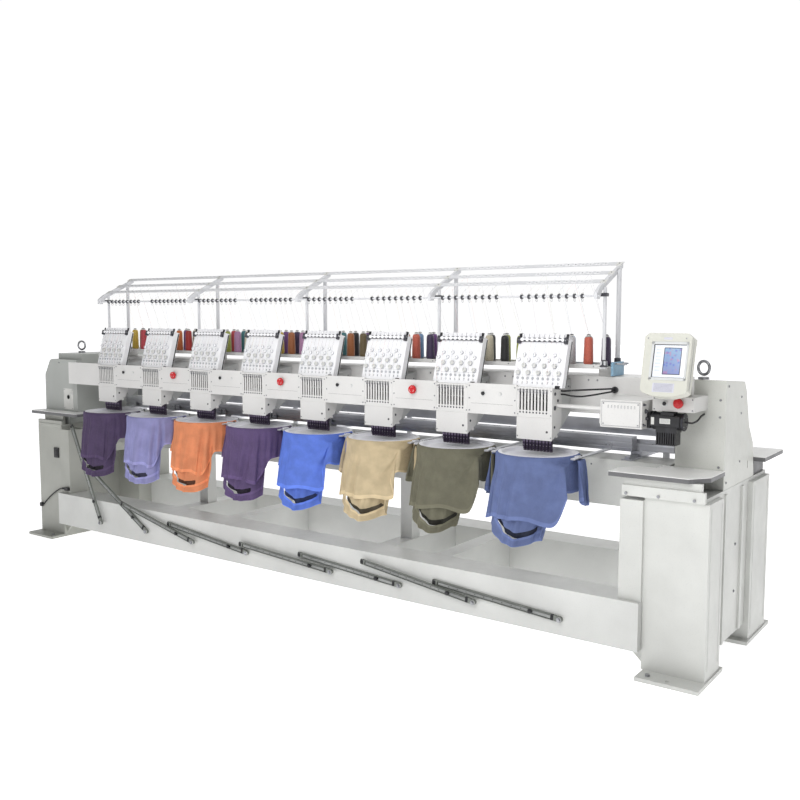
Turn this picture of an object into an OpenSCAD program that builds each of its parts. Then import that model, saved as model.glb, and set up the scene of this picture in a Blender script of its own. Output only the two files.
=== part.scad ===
// Eight-head, nine-needle tubular embroidery machine on a welded steel frame.
// X runs along the machine (+X to the operator's right), -Y is the operator's side, Z is up.
// The origin is on the floor, under the middle of the machine.

/* [Heads] */
// Distance between neighbouring sewing heads
head_pitch = 450; // [448:1:454]
// Distance between neighbouring needles in one head
needle_pitch = 17; // [16.5:0.1:17.2]
// Height of the needle plates above the floor
plate_z = 906; // [904:1:908]

/* [Frame] */
// Half length of the pedestals' outer faces
frame_half = 2390; // [2380:1:2400]
// Height of the top of the sills
sill_top = 322; // [300:1:330]
// Wall thickness of the folded steel sections
wall = 6; // [4:1:8]

/* [Hoops and garments] */
// Outer radius of a round hoop
hoop_r = 190; // [180:1:192]
// Height of the lowest point of a hooped garment
garment_low = 490; // [470:1:520]

/* [Table supports] */
// Length of one table support leg, from its pivot
leg_len = 700; // [640:5:705]
// Outside width of the leg's square section
leg_w = 26; // [22:1:28]

/* [Hidden] */
$fn = 48;

head_count = 8;
needle_count = 9;
tiny = 0.3;

// Depth planes, front to back
garment_front_y = -630;
leg_front_y = -534;
leg_d = 12;
leg_plane_gap = 1.5;
sill_front_y = -506;
sill_depth = 185;
table_front_y = -495;
case_front_y = -474;
column_front_y = -462;
needle_y = -420;
lever_pivot_y = -395;
arm_front_y = -375.4;
left_housing_front_y = -395;
right_housing_front_y = -211;
beam_front_y = -205;
beam_back_y = 15;
bed_front_y = -155;
bed_back_y = 45;
shaft_y = -95;
rear_sill_y = 300;
rear_table_back_y = 630;

// Heights
sill_z = 105;
column_top = 780;
deck_z = 798;
bed_z = 660;
bed_top = 880;
table_top = 887;
table_t = 22;
apron_low = 785;
apron_high = 832;
lower_shaft_z = 802;
hook_z = 862;
gear_window = 23;
beam_z = 1100;
beam_top = 1278;
upper_shaft_z = 1190;
case_z = 990;
case_top = 1232;
lever_pivot_z = 1165;
rack_z = 1322;

inner_x = 2111;
head_offset = 5;
case_half = 91;
board_half = 127;
slot_z = 1126;
slot_h = 98;
bar_r = 3.2;
bar_top = 1138;
bar_low = 945;
leg_pivot_z = 183;
leg_pin_r = 5;
leg_angles = [65, 31, 13, 6.5, 4, 4.5, 7.5, 4.5];

function head_x(i) = (i - (head_count - 1) / 2) * head_pitch;
function needle_x(k) = (k - (needle_count - 1) / 2) * needle_pitch;
function gap_x(i) = head_x(i) + head_pitch / 2 + head_offset;
function leg_x(i) = head_x(i) + (i < 4 ? -28 : 171);
function leg_y(i) = leg_front_y + (i % 2 == 0 ? 0 : leg_d + leg_plane_gap);

cream = [0.90, 0.90, 0.87];
grey_white = [0.80, 0.81, 0.78];
steel = [0.70, 0.71, 0.74];
dark = [0.10, 0.10, 0.11];
red = [0.75, 0.08, 0.12];

module each_head() for (i = [0 : head_count - 1]) translate([head_x(i), 0, 0]) children();
module box(x0, x1, y0, y1, z0, z1) translate([x0, y0, z0]) cube([x1 - x0, y1 - y0, z1 - z0]);
module tube_x(x0, x1, y0, y1, z0, z1, t) difference() {
  box(x0, x1, y0, y1, z0, z1);
  box(x0 - 1, x1 + 1, y0 + t, y1 - t, z0 + t, z1 - t);
}
module tube_y(x0, x1, y0, y1, z0, z1, t) difference() {
  box(x0, x1, y0, y1, z0, z1);
  box(x0 + t, x1 - t, y0 - 1, y1 + 1, z0 + t, z1 - t);
}
// A profile drawn in Y and Z, extruded along X from x0 to x1
module yz_prism(x0, x1, points) translate([x0, 0, 0]) rotate([90, 0, 90])
  linear_extrude(x1 - x0) polygon(points);
// A profile drawn in X and Z, extruded along Y from y0 to y1
module xz_prism(y0, y1, points) translate([0, y1, 0]) rotate([90, 0, 0])
  linear_extrude(y1 - y0) polygon(points);
module rod_x(x0, x1, y, z, r) translate([x0, y, z]) rotate([0, 90, 0]) cylinder(h = x1 - x0, r = r);
module rod_y(x, y0, y1, z, r) translate([x, y0, z]) rotate([-90, 0, 0]) cylinder(h = y1 - y0, r = r);
module post(x, y, z0, z1, r) translate([x, y, z0]) cylinder(h = z1 - z0, r = r);

// ---- Base ---------------------------------------------------------------

cross_xs = [-1032, -550, 617, 985];
cross_w = 100;
post_w = 76;
module base_frame() color(grey_white) {
  tube_x(-inner_x + tiny, inner_x - tiny, sill_front_y, sill_front_y + sill_depth, sill_z, sill_top, wall);
  tube_x(-inner_x + tiny, inner_x - tiny, rear_sill_y, rear_sill_y + sill_depth, sill_z, sill_top, wall);
  for (x = cross_xs)
    tube_y(x - cross_w / 2, x + cross_w / 2, sill_front_y + sill_depth + tiny, rear_sill_y - tiny,
           sill_z, sill_top, wall);
  // pivot studs for the table support legs
  for (i = [0 : head_count - 1]) {
    rod_y(leg_x(i), leg_y(i) - 2, sill_front_y + 1, leg_pivot_z, leg_pin_r);
    rod_y(leg_x(i), leg_y(i) - 9, leg_y(i) - 1, leg_pivot_z, 11);
  }
  for (x = [cross_xs[0], cross_xs[2]])
    box(x - post_w / 2, x + post_w / 2, bed_front_y + 20, bed_front_y + 20 + post_w,
        sill_top + tiny, bed_z - tiny);
}

column_d = 200;
rear_column_y = 188;
rear_column_d = 294;
foot_t = 18;
side_t = 22;
rib_w = 26;
rib_d = 10;
anchor_x = 2255;
front_anchor_y = -530;
rear_anchor_y = 510;
anchor_r = 9;
foot_back = 34;
module foot_plate(y0, y1, hole_y) difference() {
  box(inner_x + 9, frame_half + 7, y0, y1, 0, foot_t);
  translate([anchor_x, hole_y, -1]) cylinder(h = foot_t + 2, r = anchor_r);
}
// The pedestal at the right-hand end; the left-hand one is its mirror image
module pedestal(left) {
  // front column, hollow
  difference() {
    box(inner_x, frame_half, column_front_y, column_front_y + column_d, foot_t, column_top);
    box(inner_x + wall, frame_half - wall, column_front_y + wall, column_front_y + column_d - wall,
        foot_t + wall, column_top - wall);
  }
  // rear column, hollow
  difference() {
    box(inner_x, frame_half, rear_column_y, rear_column_y + rear_column_d, foot_t, column_top);
    box(inner_x + wall, frame_half - wall, rear_column_y + wall, rear_column_y + rear_column_d - wall,
        foot_t + wall, column_top - wall);
  }
  // side panel between the columns, with two pressed ribs
  front_end = column_front_y + column_d;
  yz_prism(frame_half - 2 * side_t, frame_half - side_t, [
    [front_end, column_top], [front_end, panel_low], [rear_column_y, panel_low], [rear_column_y, column_top]]);
  for (y = [front_end + 70, rear_column_y - 120])
    box(frame_half - side_t, frame_half - side_t + rib_d, y, y + rib_w, panel_low + 6, column_top);
  // web between the columns that the bed beam butts against
  box(inner_x, inner_x + 14, front_end, rear_column_y, bed_z - 100, column_top);
  foot_plate(column_front_y - 101, column_front_y + column_d + foot_back, front_anchor_y);
  foot_plate(rear_column_y - 40, rear_column_y + rear_column_d + 60, rear_anchor_y);
  // gussets under the sill ends
  for (y = [column_front_y + 20, rear_column_y + 150])
    xz_prism(y, y + 12, [[inner_x - 70, sill_z - 1], [inner_x, sill_z - 1], [inner_x, foot_t + 20]]);
  // narrow inner post standing on the sill
  box(inner_x - 104, inner_x, sill_front_y + 26, sill_front_y + 160, sill_top + tiny, column_top - 12);
  // the right table stands on an apron with a recessed strip above it, the left one on two plain strips
  if (left) {
    box(inner_x, frame_half - 2, column_front_y, column_front_y + 18, column_top, apron_high - 10);
    box(inner_x + 20, frame_half - 40, column_front_y + 28, column_front_y + 46, deck_z - 1, table_top - table_t);
  } else {
    box(inner_x - 96, frame_half - 13, table_front_y + 12, table_front_y + 30, apron_low, apron_high);
    box(inner_x - 90, frame_half - 30, table_front_y + 24, table_front_y + 42,
        apron_high - 1, table_top - table_t);
  }
  difference() {
    box(inner_x, frame_half - 20, table_front_y + 30, rear_column_y + rear_column_d, column_top, deck_z);
    if (left) box(inner_x - 1, inner_x + 130, shaft_y - 85, shaft_y + 85, column_top - 1, deck_z + 1);
  }
}
module left_pedestal() color(grey_white) mirror([1, 0, 0]) pedestal(true);
module right_pedestal() color(grey_white) pedestal(false);

panel_low = 96;
eye_r = 36;
eye_wire = 6.5;
left_eye = [-2251, -180];
right_eye = [2262, -190];
left_eye_turn = 108;
right_eye_turn = 70;
module lifting_eye(x, y, z, turn) translate([x, y, z]) {
  cylinder(h = 10, r = 24);
  translate([0, 0, eye_r + eye_wire + 8]) rotate([0, 90, turn])
    rotate_extrude() translate([eye_r - eye_wire, 0]) circle(r = eye_wire, $fn = 24);
}
module hex_bolt(x, y, z, r) translate([x, y, z]) rotate([90, 0, 0]) cylinder(h = r * 0.9, r = r, $fn = 6);
bracket_bolts = [2035, 2179, 2333];
module lifting_eyes_and_bolts() color(steel) {
  lifting_eye(left_eye[0], left_eye[1], 1290 + tiny, left_eye_turn);
  lifting_eye(right_eye[0], right_eye[1], 1282 + tiny, right_eye_turn);
  for (x = bracket_bolts)
    hex_bolt(x, table_front_y + 12 - tiny, 796, 7);
  for (side = [-1, 1], y = [column_front_y - 60, rear_column_y + rear_column_d + 20])
    translate([side * (anchor_x - 90), y, foot_t + tiny]) cylinder(h = 9, r = 11, $fn = 6);
}

// ---- Bed and upper beam ---------------------------------------------------

module bed_beam() color(steel) difference() {
  box(-inner_x + tiny, inner_x - tiny, bed_front_y, bed_back_y, bed_z, bed_top);
  box(-inner_x - 1, inner_x + 1, bed_front_y + 8, bed_back_y - 8, bed_z + 8, bed_top - 8);
  each_head() {
    rod_y(0, bed_front_y - 1, bed_front_y + 9, hook_z, 12);
    // window above the hook shaft's gear
    box(-gear_window, gear_window, shaft_y - 12, shaft_y + 12, hook_z, bed_top + 1);
  }
}
module upper_beam() color(cream) {
  difference() {
    box(-2013, 2148, beam_front_y, beam_back_y, beam_z, beam_top);
    box(-2014, 2140, beam_front_y + 8, beam_back_y - 8, beam_z + 8, beam_top - 8);
  }
  // bearing blocks for the upper shaft
  each_head() difference() {
    box(80, 110, beam_front_y + 8, beam_back_y - 8, upper_shaft_z - 40, upper_shaft_z + 40);
    rod_x(79, 111, shaft_y, upper_shaft_z, 12.55);
  }
}

pulley_x = -2190;
lh_x0 = -2390;
lh_x1 = -2013.5;
lh_step_x = -2112;
lh_top = 1290;
lh_shoulder = 1250;
lh_box_x = -2286;
lh_back_y = 200;
module left_housing() color(cream) difference() {
  union() {
    xz_prism(left_housing_front_y, lh_back_y, [
      [lh_x0, deck_z + tiny], [lh_x0 + 4, 1140], [-2326, 1240], [-2304, lh_shoulder],
      [lh_x1, lh_shoulder], [lh_x1, table_top], [lh_step_x, table_top], [lh_step_x, deck_z + tiny]]);
    box(lh_box_x, lh_x1, left_housing_front_y + 45, lh_back_y, lh_shoulder - 1, lh_top);
  }
  // hollow inside, open at the bottom towards the pedestal
  xz_prism(left_housing_front_y + wall, lh_back_y - wall, [
    [lh_x0 + wall + 2, deck_z - 1], [lh_x0 + wall + 6, 1136], [-2320, 1234], [-2302, lh_shoulder - wall],
    [lh_x1 - wall, lh_shoulder - wall], [lh_x1 - wall, table_top + wall], [lh_step_x - wall, table_top + wall],
    [lh_step_x - wall, deck_z - 1]]);
  box(lh_box_x + wall, lh_x1 - wall, left_housing_front_y + 45 + wall, lh_back_y - wall,
      lh_shoulder - wall - 1, lh_top - wall);
  rod_x(lh_x1 - wall - 1, lh_x1 + 1, shaft_y, upper_shaft_z, 20);
  rod_x(lh_step_x - wall - 1, lh_step_x + 1, shaft_y, lower_shaft_z, 20);
}
rh_x0 = 2150;
rh_x1 = 2370;
module right_housing() color(cream) difference() {
  yz_prism(rh_x0, rh_x1, [
    [right_housing_front_y, deck_z + tiny], [266, deck_z + tiny], [237, 965], [162, 1052], [102, 1221],
    [70, 1262], [right_housing_front_y, 1282]]);
  yz_prism(rh_x0 - 1, rh_x1 - wall, [
    [right_housing_front_y + wall, deck_z - 1], [258, deck_z - 1], [230, 962], [155, 1049],
    [95, 1218], [66, 1254], [right_housing_front_y + wall, 1274]]);
  box(rh_x1 - wall - 1, rh_x1 + 1, 150, 158, 850, 885);
}

arm_half = 60;
arm_z = 1012;
nose_half = 9;
module arm_housings() color(grey_white) each_head() {
  yz_prism(-arm_half, arm_half, [
    [beam_front_y - tiny, beam_z], [beam_front_y - tiny, 1262], [arm_front_y, 1228], [arm_front_y, arm_z + 60],
    [-330, arm_z]]);
  box(-nose_half, nose_half, -402, arm_front_y, 1030, 1086);
}

arm_w = 84;
arm_tip_y = -470;
arm_z0 = 826;
module arm_outline(w, h, c) polygon([
  [-w / 2, c], [-w / 2 + c, 0], [w / 2 - c, 0], [w / 2, c], [w / 2, h - 4], [w / 2 - 4, h],
  [-w / 2 + 4, h], [-w / 2, h - 4]]);
module cylinder_arms() color(grey_white) each_head() {
  arm_h = plate_z - 2 - arm_z0;
  difference() {
    translate([0, bed_front_y - tiny, arm_z0]) rotate([90, 0, 0])
      linear_extrude(bed_front_y - tiny - arm_tip_y) arm_outline(arm_w, arm_h, 22);
    translate([0, bed_front_y + 1, arm_z0 + 4]) rotate([90, 0, 0])
      linear_extrude(bed_front_y - arm_tip_y - 6) arm_outline(arm_w - 8, arm_h - 8, 20);
    translate([0, needle_y, plate_z - 10]) cylinder(h = 20, r = 14);
  }
  // bush that carries the hook shaft
  difference() {
    box(-arm_w / 2 + 2, arm_w / 2 - 2, -300, -276, hook_z - 12, hook_z + 26);
    rod_y(0, -301, -275, hook_z, 7.05);
  }
  // needle plate
  difference() {
    box(-30, 30, needle_y - 40, needle_y + 40, plate_z - 1.8, plate_z);
    translate([0, needle_y, plate_z - 5]) cylinder(h = 10, r = 2);
  }
}

// ---- Tables ---------------------------------------------------------------

module side_tables() color([0.86, 0.86, 0.84]) {
  // left table, notched for the housing
  translate([0, 0, table_top - table_t]) linear_extrude(table_t) polygon([
    [-2416, table_front_y], [-1916, table_front_y], [-1900, table_front_y + 16], [-1900, -170],
    [lh_x1 + 2, -170], [lh_x1 + 2, left_housing_front_y - 2], [-2416, left_housing_front_y - 2]]);
  // right table, with chamfered corners and a cut-out beside the bed
  translate([0, 0, table_top - table_t]) linear_extrude(table_t) polygon([
    [1956, table_front_y], [2310, table_front_y], [2375, table_front_y + 90],
    [2375, right_housing_front_y - 2], [2100, right_housing_front_y - 2], [2100, -300], [2010, -300],
    [1956, -390]]);
  // rear table behind the right housing
  translate([0, 0, table_top - table_t]) linear_extrude(table_t) polygon([
    [2040, 290], [2415, 290], [2415, rear_table_back_y], [2040, rear_table_back_y]]);
  for (x = [2130, 2335])
    box(x, x + 25, 300, rear_column_y + rear_column_d - 10, deck_z + tiny, table_top - table_t);
}

// ---- Thread supply ----------------------------------------------------------

cone_h = 145;
cone_r = 25;
front_cones = [for (k = [0 : 4]) [-123 + 90 * k, -205]];
rear_cones = [for (k = [0 : 3]) [-78 + 90 * k, -105]];
cone_places = concat(front_cones, rear_cones);
rack_x0 = -1890;
rack_x1 = 1842;
rack_lip = 12;
module spool_rack() color(cream) {
  box(rack_x0, rack_x1, -255, -55, rack_z, rack_z + 4);
  box(rack_x0, rack_x1, -258, -255, rack_z - 8, rack_z + rack_lip);
  box(rack_x0, rack_x1, -55, -52, rack_z, rack_z + rack_lip);
  for (x = [-1800, -900, 0, 900, 1800]) box(x - 30, x + 30, -190, -60, beam_top + tiny, rack_z);
  each_head() for (p = cone_places) post(p[0], p[1], rack_z + 4, rack_z + cone_h - 10, 4);
}
module thread_cones() color([0.85, 0.55, 0.3]) each_head() for (p = cone_places)
  translate([p[0], p[1], rack_z + 4 + tiny]) difference() {
    cylinder(h = cone_h, r1 = cone_r, r2 = cone_r - 4);
    translate([0, 0, -1]) cylinder(h = cone_h + 2, r = 5);
  }

tree_xs = [-1814, -907, 0, 907, 1814];
tree_front = [-299, 1690];
tree_back = [-51, 1812];
tree_rod = [-330, 1672];
hook_pitch = 39;
hook_start = -144;
tree_slope = atan2(tree_back[1] - tree_front[1], tree_back[0] - tree_front[0]);
bar_places = [0.2, 0.55, 0.92];
bar_w = 34;
module thread_tree() color([0.86, 0.87, 0.88]) {
  for (x = tree_xs) {
    post(x + 14, -270, rack_z - 4, 1690, 8);
    box(x + 2, x + 26, -282, -258 - tiny, rack_z - 6, rack_z + 30);
    post(x + 14, -110, rack_z + 4 + tiny, 1776, 11);
    yz_prism(x - 8, x + 8, [
      [tree_rod[0] - 14, tree_rod[1] - 36], [tree_rod[0] + 14, tree_rod[1] - 36],
      [tree_front[0] + 10, tree_front[1] - 16],
      [tree_back[0], tree_back[1] - 24], [tree_back[0], tree_back[1]], [tree_front[0] - 4, tree_front[1] + 6],
      [tree_rod[0] - 14, tree_rod[1] - 6]]);
  }
  for (t = bar_places)
    translate([0, tree_front[0] + t * (tree_back[0] - tree_front[0]),
               tree_front[1] + t * (tree_back[1] - tree_front[1])])
      rotate([tree_slope, 0, 0]) translate([0, 0, 2]) box(-1830, 1830, -bar_w / 2, bar_w / 2, 0, 4);
  rod_x(-1830, 1830, tree_rod[0], tree_rod[1] - 22, 5);
  each_head() for (k = [0 : needle_count - 1])
    rod_x(hook_start + k * hook_pitch - 3, hook_start + k * hook_pitch + 3, tree_rod[0], tree_rod[1] - 22, 10);
}

// ---- Colour change, controls, electrics -------------------------------------

ccb_x0 = 1902;
ccb_x1 = 2092;
ccb_z0 = 1075;
ccb_z1 = 1196;
push_rod_y = -420;
push_rod_z = 1150;
module colour_change_box() color(cream) {
  difference() {
    box(ccb_x0, ccb_x1, case_front_y + 5, beam_front_y - tiny, ccb_z0, ccb_z1);
    box(ccb_x0 + 5, ccb_x1 - 5, case_front_y + 10, beam_front_y - 6, ccb_z0 + 5, ccb_z1 - 5);
    rod_x(ccb_x0 - 1, ccb_x0 + 6, push_rod_y, push_rod_z, 13);
  }
  // front lid
  box(ccb_x0 + 8, ccb_x1 - 8, case_front_y + 1, case_front_y + 5 - tiny, ccb_z0 + 8, ccb_z1 - 8);
}
motor_y = -372;
motor_z = 1108;
motor_r = 37;
fin_count = 9;
module colour_change_motor() color(dark) {
  rod_x(ccb_x1 + 14, ccb_x1 + 156, motor_y, motor_z, motor_r);
  box(ccb_x1 + tiny, ccb_x1 + 14, motor_y - 38, motor_y + 38, motor_z - 32, motor_z + 38);
  // finned drive block under the motor
  box(2130, 2222, motor_y - 32, motor_y + 32, 1060, motor_z);
  for (k = [0 : fin_count - 1])
    box(2132 + 10 * k, 2138 + 10 * k, motor_y - 32, motor_y + 32, 1006, 1061);
}
station_x0 = 2110;
station_x1 = 2292;
station_y = -395;
station_z0 = 1152;
station_z1 = 1215;
neck_y0 = -330;
tilt_y = -320;
tilt_z = 1285;
main_stop_x = 2228;
main_stop_z = 1190;
stop_r = 20;
module control_station() color(cream) {
  difference() {
    box(station_x0, station_x1, station_y, right_housing_front_y - tiny, station_z0, station_z1);
    rod_y(main_stop_x, station_y - 1, station_y + 31, main_stop_z, 8);
  }
  // fixed knob beside the stop button
  rod_y(2166, station_y - 9, station_y, 1186, 7);
  // neck and clevis ears for the panel's tilt pin
  box(2120, 2258, neck_y0, tilt_y + 20, station_z1, 1262);
  for (x = [2120, 2250]) difference() {
    box(x, x + 8, neck_y0, tilt_y + 20, 1262 - 0.01, 1300);
    rod_x(x - 1, x + 9, tilt_y, tilt_z, 5.05);
  }
}

plate_t = 14;
lead_r = 4;
loop_r = 4;
inlet_x = -2048;
post_front_y = -480;
lead_y = -490;
lead_z = 355;
elbow_x = -2360;
elbow_z = 204;
gland = [1860, 1217];
gland_y = -217.5;
module power_inlet() color(dark) {
  // main switch on the left column
  difference() {
    box(-2200, -2150, column_front_y - 9, column_front_y - tiny, 560, 630);
    box(-2190, -2160, column_front_y - 10, column_front_y - 5, 570, 620);
  }
  box(-2188, -2162, column_front_y - 12, column_front_y - 5.5, 572, 618);
  // connector on the front of the narrow post
  box(inlet_x, inlet_x + 36, post_front_y - 20, post_front_y - tiny, lead_z - 11, lead_z + 11);
  // elbow gland at the column's outer edge
  box(elbow_x - 24, elbow_x, column_front_y - 17, column_front_y - tiny, elbow_z - 13, elbow_z + 13);
  // gland on the beam for the two cable loops
  rod_y(gland[0], gland_y, beam_front_y - tiny, gland[1], 15);
}

// The lead leaves the connector and runs down across the column to the elbow gland
lead_route = [
  [inlet_x - tiny, lead_y, lead_z], [-2056, -490, 355], [-2068, -490, 354.5], [-2082, -489.5, 353.5],
  [-2098, -488, 351], [-2114, -485.5, 347.5], [-2130, -482, 343], [-2146, -478, 337.5], [-2162, -475, 331],
  [-2178, -472.5, 323.5], [-2195, -471, 315], [-2212, -470.5, 305.5], [-2230, -470, 295], [-2248, -470, 283.5],
  [-2266, -470, 271.5], [-2284, -470, 259], [-2300, -470, 247], [-2315, -470, 235], [-2328, -470, 224],
  [-2338, -470, 215], [-2346, -470, 208.5], [-2352, -470, 205], [-2356, -470, 204], [elbow_x + tiny, -470, 204]
];
loop_a = [
  [1674.3, -392, 1216], [1690, -392, 1216], [1720, -388, 1219], [1760, -370, 1222], [1800, -340, 1224],
  [1835, -300, 1225], [1855, -260, 1225], [1860, -232, 1224], [1860, gland_y - tiny, 1223]
];
loop_b = [
  [1674.3, -392, 1200], [1692, -392, 1200], [1725, -389, 1195], [1765, -372, 1193], [1805, -344, 1199],
  [1838, -304, 1206], [1856, -262, 1210], [1860, -232, 1211], [1860, gland_y - tiny, 1211]
];
function unit(v) = v / norm(v);
function route_tangent(p, i) =
  unit(p[min(i + 1, len(p) - 1)] - p[max(i - 1, 0)]);
function ring_points(c, t, r, n) =
  let (side = unit(cross(t, [0.05, 0.1, 1])), up = cross(side, t))
  [for (k = [0 : n - 1]) c + r * (cos(360 * k / n) * side + sin(360 * k / n) * up)];
// A tube swept along a route of points, with flat ends
module swept_tube(p, r, n) {
  rings = [for (i = [0 : len(p) - 1]) each ring_points(p[i], route_tangent(p, i), r, n)];
  last = (len(p) - 1) * n;
  faces = concat(
    [[for (k = [n - 1 : -1 : 0]) k]],
    [for (i = [0 : len(p) - 2], k = [0 : n - 1])
      [i * n + k, i * n + (k + 1) % n, (i + 1) * n + (k + 1) % n, (i + 1) * n + k]],
    [[for (k = [0 : n - 1]) last + k]]);
  polyhedron(points = rings, faces = faces, convexity = 6);
}
module mains_lead() color(dark) swept_tube(lead_route, lead_r, 8);
module cable_loops() color(dark) {
  swept_tube(loop_a, loop_r, 8);
  swept_tube(loop_b, loop_r, 8);
}

// ---- Pantograph --------------------------------------------------------------

rail_xs = [-1900, -900, 0, 900, 1900];
module pantograph_rails() color(steel) {
  for (x = rail_xs) {
    box(x - 30, x + 30, bed_front_y + 12, 290, bed_top + tiny, bed_top + 6);
    box(x - 12, x + 12, bed_front_y + 12, 290, bed_top + 6, bed_top + 18);
  }
  // grey rear guard, with the silver ledge in front of it
  box(-2008, 2144, 120, 126, bed_top + 90, bed_top + 160);
  for (x = [-1950, -450, 450, 1990]) {
    box(x - 15, x + 15, 126 + tiny, 140, bed_z + 30, bed_top + 160);
    box(x - 15, x + 15, bed_back_y + tiny, 126 + 1, bed_z + 30, bed_z + 60);
  }
}
module pantograph_y_frame() color(steel) {
  for (x = rail_xs) difference() {
    box(x - 28, x + 28, -30, 60, bed_top + 7, bed_top + 32);
    box(x - 12.5, x + 12.5, -31, 61, bed_top + 6, bed_top + 18.5);
  }
  box(-1950, 2080, -12, 48, bed_top + 32, bed_top + 66);
  box(-1950, 2080, 8, 28, bed_top + 66, bed_top + 84);
}

x_beam_y0 = -78;
x_beam_y1 = -12.6;
hoop_z0 = 909;
hoop_z1 = 927;
finger_x = 205;
finger_w = 24;
module pantograph_x_frame() color([0.78, 0.78, 0.82]) {
  difference() {
    box(-1895, 1895, x_beam_y0, x_beam_y1, bed_top + 34, bed_top + 102);
    for (z = [bed_top + 50, bed_top + 74]) box(-1896, 1896, x_beam_y0 - 1, x_beam_y0 + 8, z, z + 10);
  }
  each_head() for (side = [-1, 1])
    box(side * finger_x - finger_w / 2, side * finger_x + finger_w / 2, needle_y - 60, x_beam_y0 - tiny,
        hoop_z0 + 5, hoop_z0 + 11);
}
hoop_wall = 24;
module hoops() color([0.93, 0.93, 0.95]) each_head() translate([0, needle_y, hoop_z0]) {
  difference() {
    cylinder(h = hoop_z1 - hoop_z0, r = hoop_r);
    translate([0, 0, -1]) cylinder(h = hoop_z1 - hoop_z0 + 2, r = hoop_r - hoop_wall);
  }
  // ears that rest on the two fingers
  for (side = [-1, 1])
    box(side * 198 - 14, side * 198 + 14, -18, 18, 11 + tiny, hoop_z1 - hoop_z0 - 1);
}

garment_half = 198;
garment_top = 903;
garment_t = 16;
neck_half = 120;
shoulder_z = 600;
module garments() color([0.45, 0.5, 0.7]) each_head()
  xz_prism(garment_front_y, garment_front_y + garment_t, [
    [-garment_half, garment_top], [-garment_half, shoulder_z], [-neck_half, shoulder_z - 30],
    [-70, garment_low + 14], [0, garment_low], [70, garment_low + 14], [neck_half, shoulder_z - 30],
    [garment_half, shoulder_z], [garment_half, garment_top]]);

// ---- Sliding needle cases ------------------------------------------------------

guide_zs = [1002, 1100];
guide_h = 12;
cover_t = 4;
module head_cases() color(cream) each_head() {
  x0 = head_offset - case_half;
  x1 = head_offset + case_half;
  difference() {
    union() {
      // front cover
      box(x0, x1, case_front_y, case_front_y + cover_t, case_z, case_top);
      // side plates
      for (x = [x0, x1 - cover_t])
        yz_prism(x, x + cover_t, [
          [case_front_y, case_z], [-396, case_z + 36], [-376, case_z + 80], [-376, case_top],
          [case_front_y, case_top]]);
      // top plate with the slide bar behind it
      box(x0, x1, case_front_y, -376, case_top - cover_t, case_top);
      box(x0, x1, -392, -376, case_top - 24, case_top);
      // guide bars with one bush for each needle bar
      for (z = guide_zs) box(x0, x1, needle_y - 8, needle_y + 8, z, z + guide_h);
      rod_x(x0 + 1, x1 - 1, lever_pivot_y, lever_pivot_z, 3);
    }
    for (k = [0 : needle_count - 1]) {
      box(needle_x(k) - 4, needle_x(k) + 4, case_front_y - 1, case_front_y + cover_t + 1,
          slot_z, slot_z + slot_h);
      post(needle_x(k), needle_y, 990, 1120, bar_r + 0.06);
    }
    // shadow groove between the upper and lower covers
    box(x0 - 1, x1 - 8, case_front_y - 1, case_front_y + 1.5, 1092, 1095);
  }
}

board_low = [-451, 1236];
board_high = [-388, 1458];
board_depth = 44;
board_lean = atan2(board_high[0] - board_low[0], board_high[1] - board_low[1]);
board_len = norm(board_high - board_low);
knob_pitch = 26;
// heights up the board: every second tension knob stands higher than its neighbours
main_knobs = [62, 96];
upper_knobs = [124, 148];
rail_h = 20;
module tension_boards() color([0.93, 0.93, 0.92]) each_head() {
  x0 = head_offset - board_half;
  x1 = head_offset + board_half;
  difference() {
    translate([0, board_low[0], board_low[1]]) rotate([-board_lean, 0, 0]) difference() {
      box(x0, x1, 0, board_depth, -6, board_len);
      box(x0 + 3, x1 - 3, 3, board_depth + 1, 3, board_len - 3);
    }
    box(x0 - 1, x1 + 1, case_front_y, beam_front_y, board_low[1] - 60, case_top + tiny);
  }
  translate([0, board_low[0], board_low[1]]) rotate([-board_lean, 0, 0]) {
    for (k = [0 : needle_count - 1]) {
      knob_x = head_offset + (k - (needle_count - 1) / 2) * knob_pitch;
      rod_y(knob_x, -16, 0.01, main_knobs[k % 2], 9);
      rod_y(knob_x - 7, -12, 0.01, upper_knobs[k % 2], 7);
    }
    // thread roller strip along the top, and the guide rail above it
    box(x0, x1, -14, 0.01, board_len - 14, board_len - 8);
    box(x0, x1, 3, 9, board_len - 1, board_len + rail_h);
  }
}

link_gaps = [0 : head_count - 2];
module link_plates() color(cream) {
  for (i = link_gaps) {
    x0 = head_x(i) + head_offset + case_half + tiny;
    x1 = head_x(i + 1) + head_offset - case_half - tiny;
    difference() {
      box(x0, x1, case_front_y, case_front_y + plate_t, 1093, 1239);
      rod_y(gap_x(i) - (i % 2 == 0 ? 46 : 0), case_front_y - 1, case_front_y + plate_t + 1, 1192,
            i % 2 == 0 ? 7 : 8);
    }
    if (i % 2 == 0) rod_y(gap_x(i) + 46, case_front_y - 5, case_front_y, 1192, 6);
  }
  // end plate from the first head towards the left housing
  box(-1990, head_x(0) + head_offset - case_half - tiny, case_front_y, case_front_y + plate_t, 1093, 1239);
  // clip for the cable loops on the last head's side
  box(head_x(7) + head_offset + case_half + tiny, 1674, -400, -384, 1192, 1224);
  // push rod from the last head into the colour change box
  rod_x(head_x(7) + head_offset + case_half + tiny, ccb_x0 + 100, push_rod_y, push_rod_z, 9);
}

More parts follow.
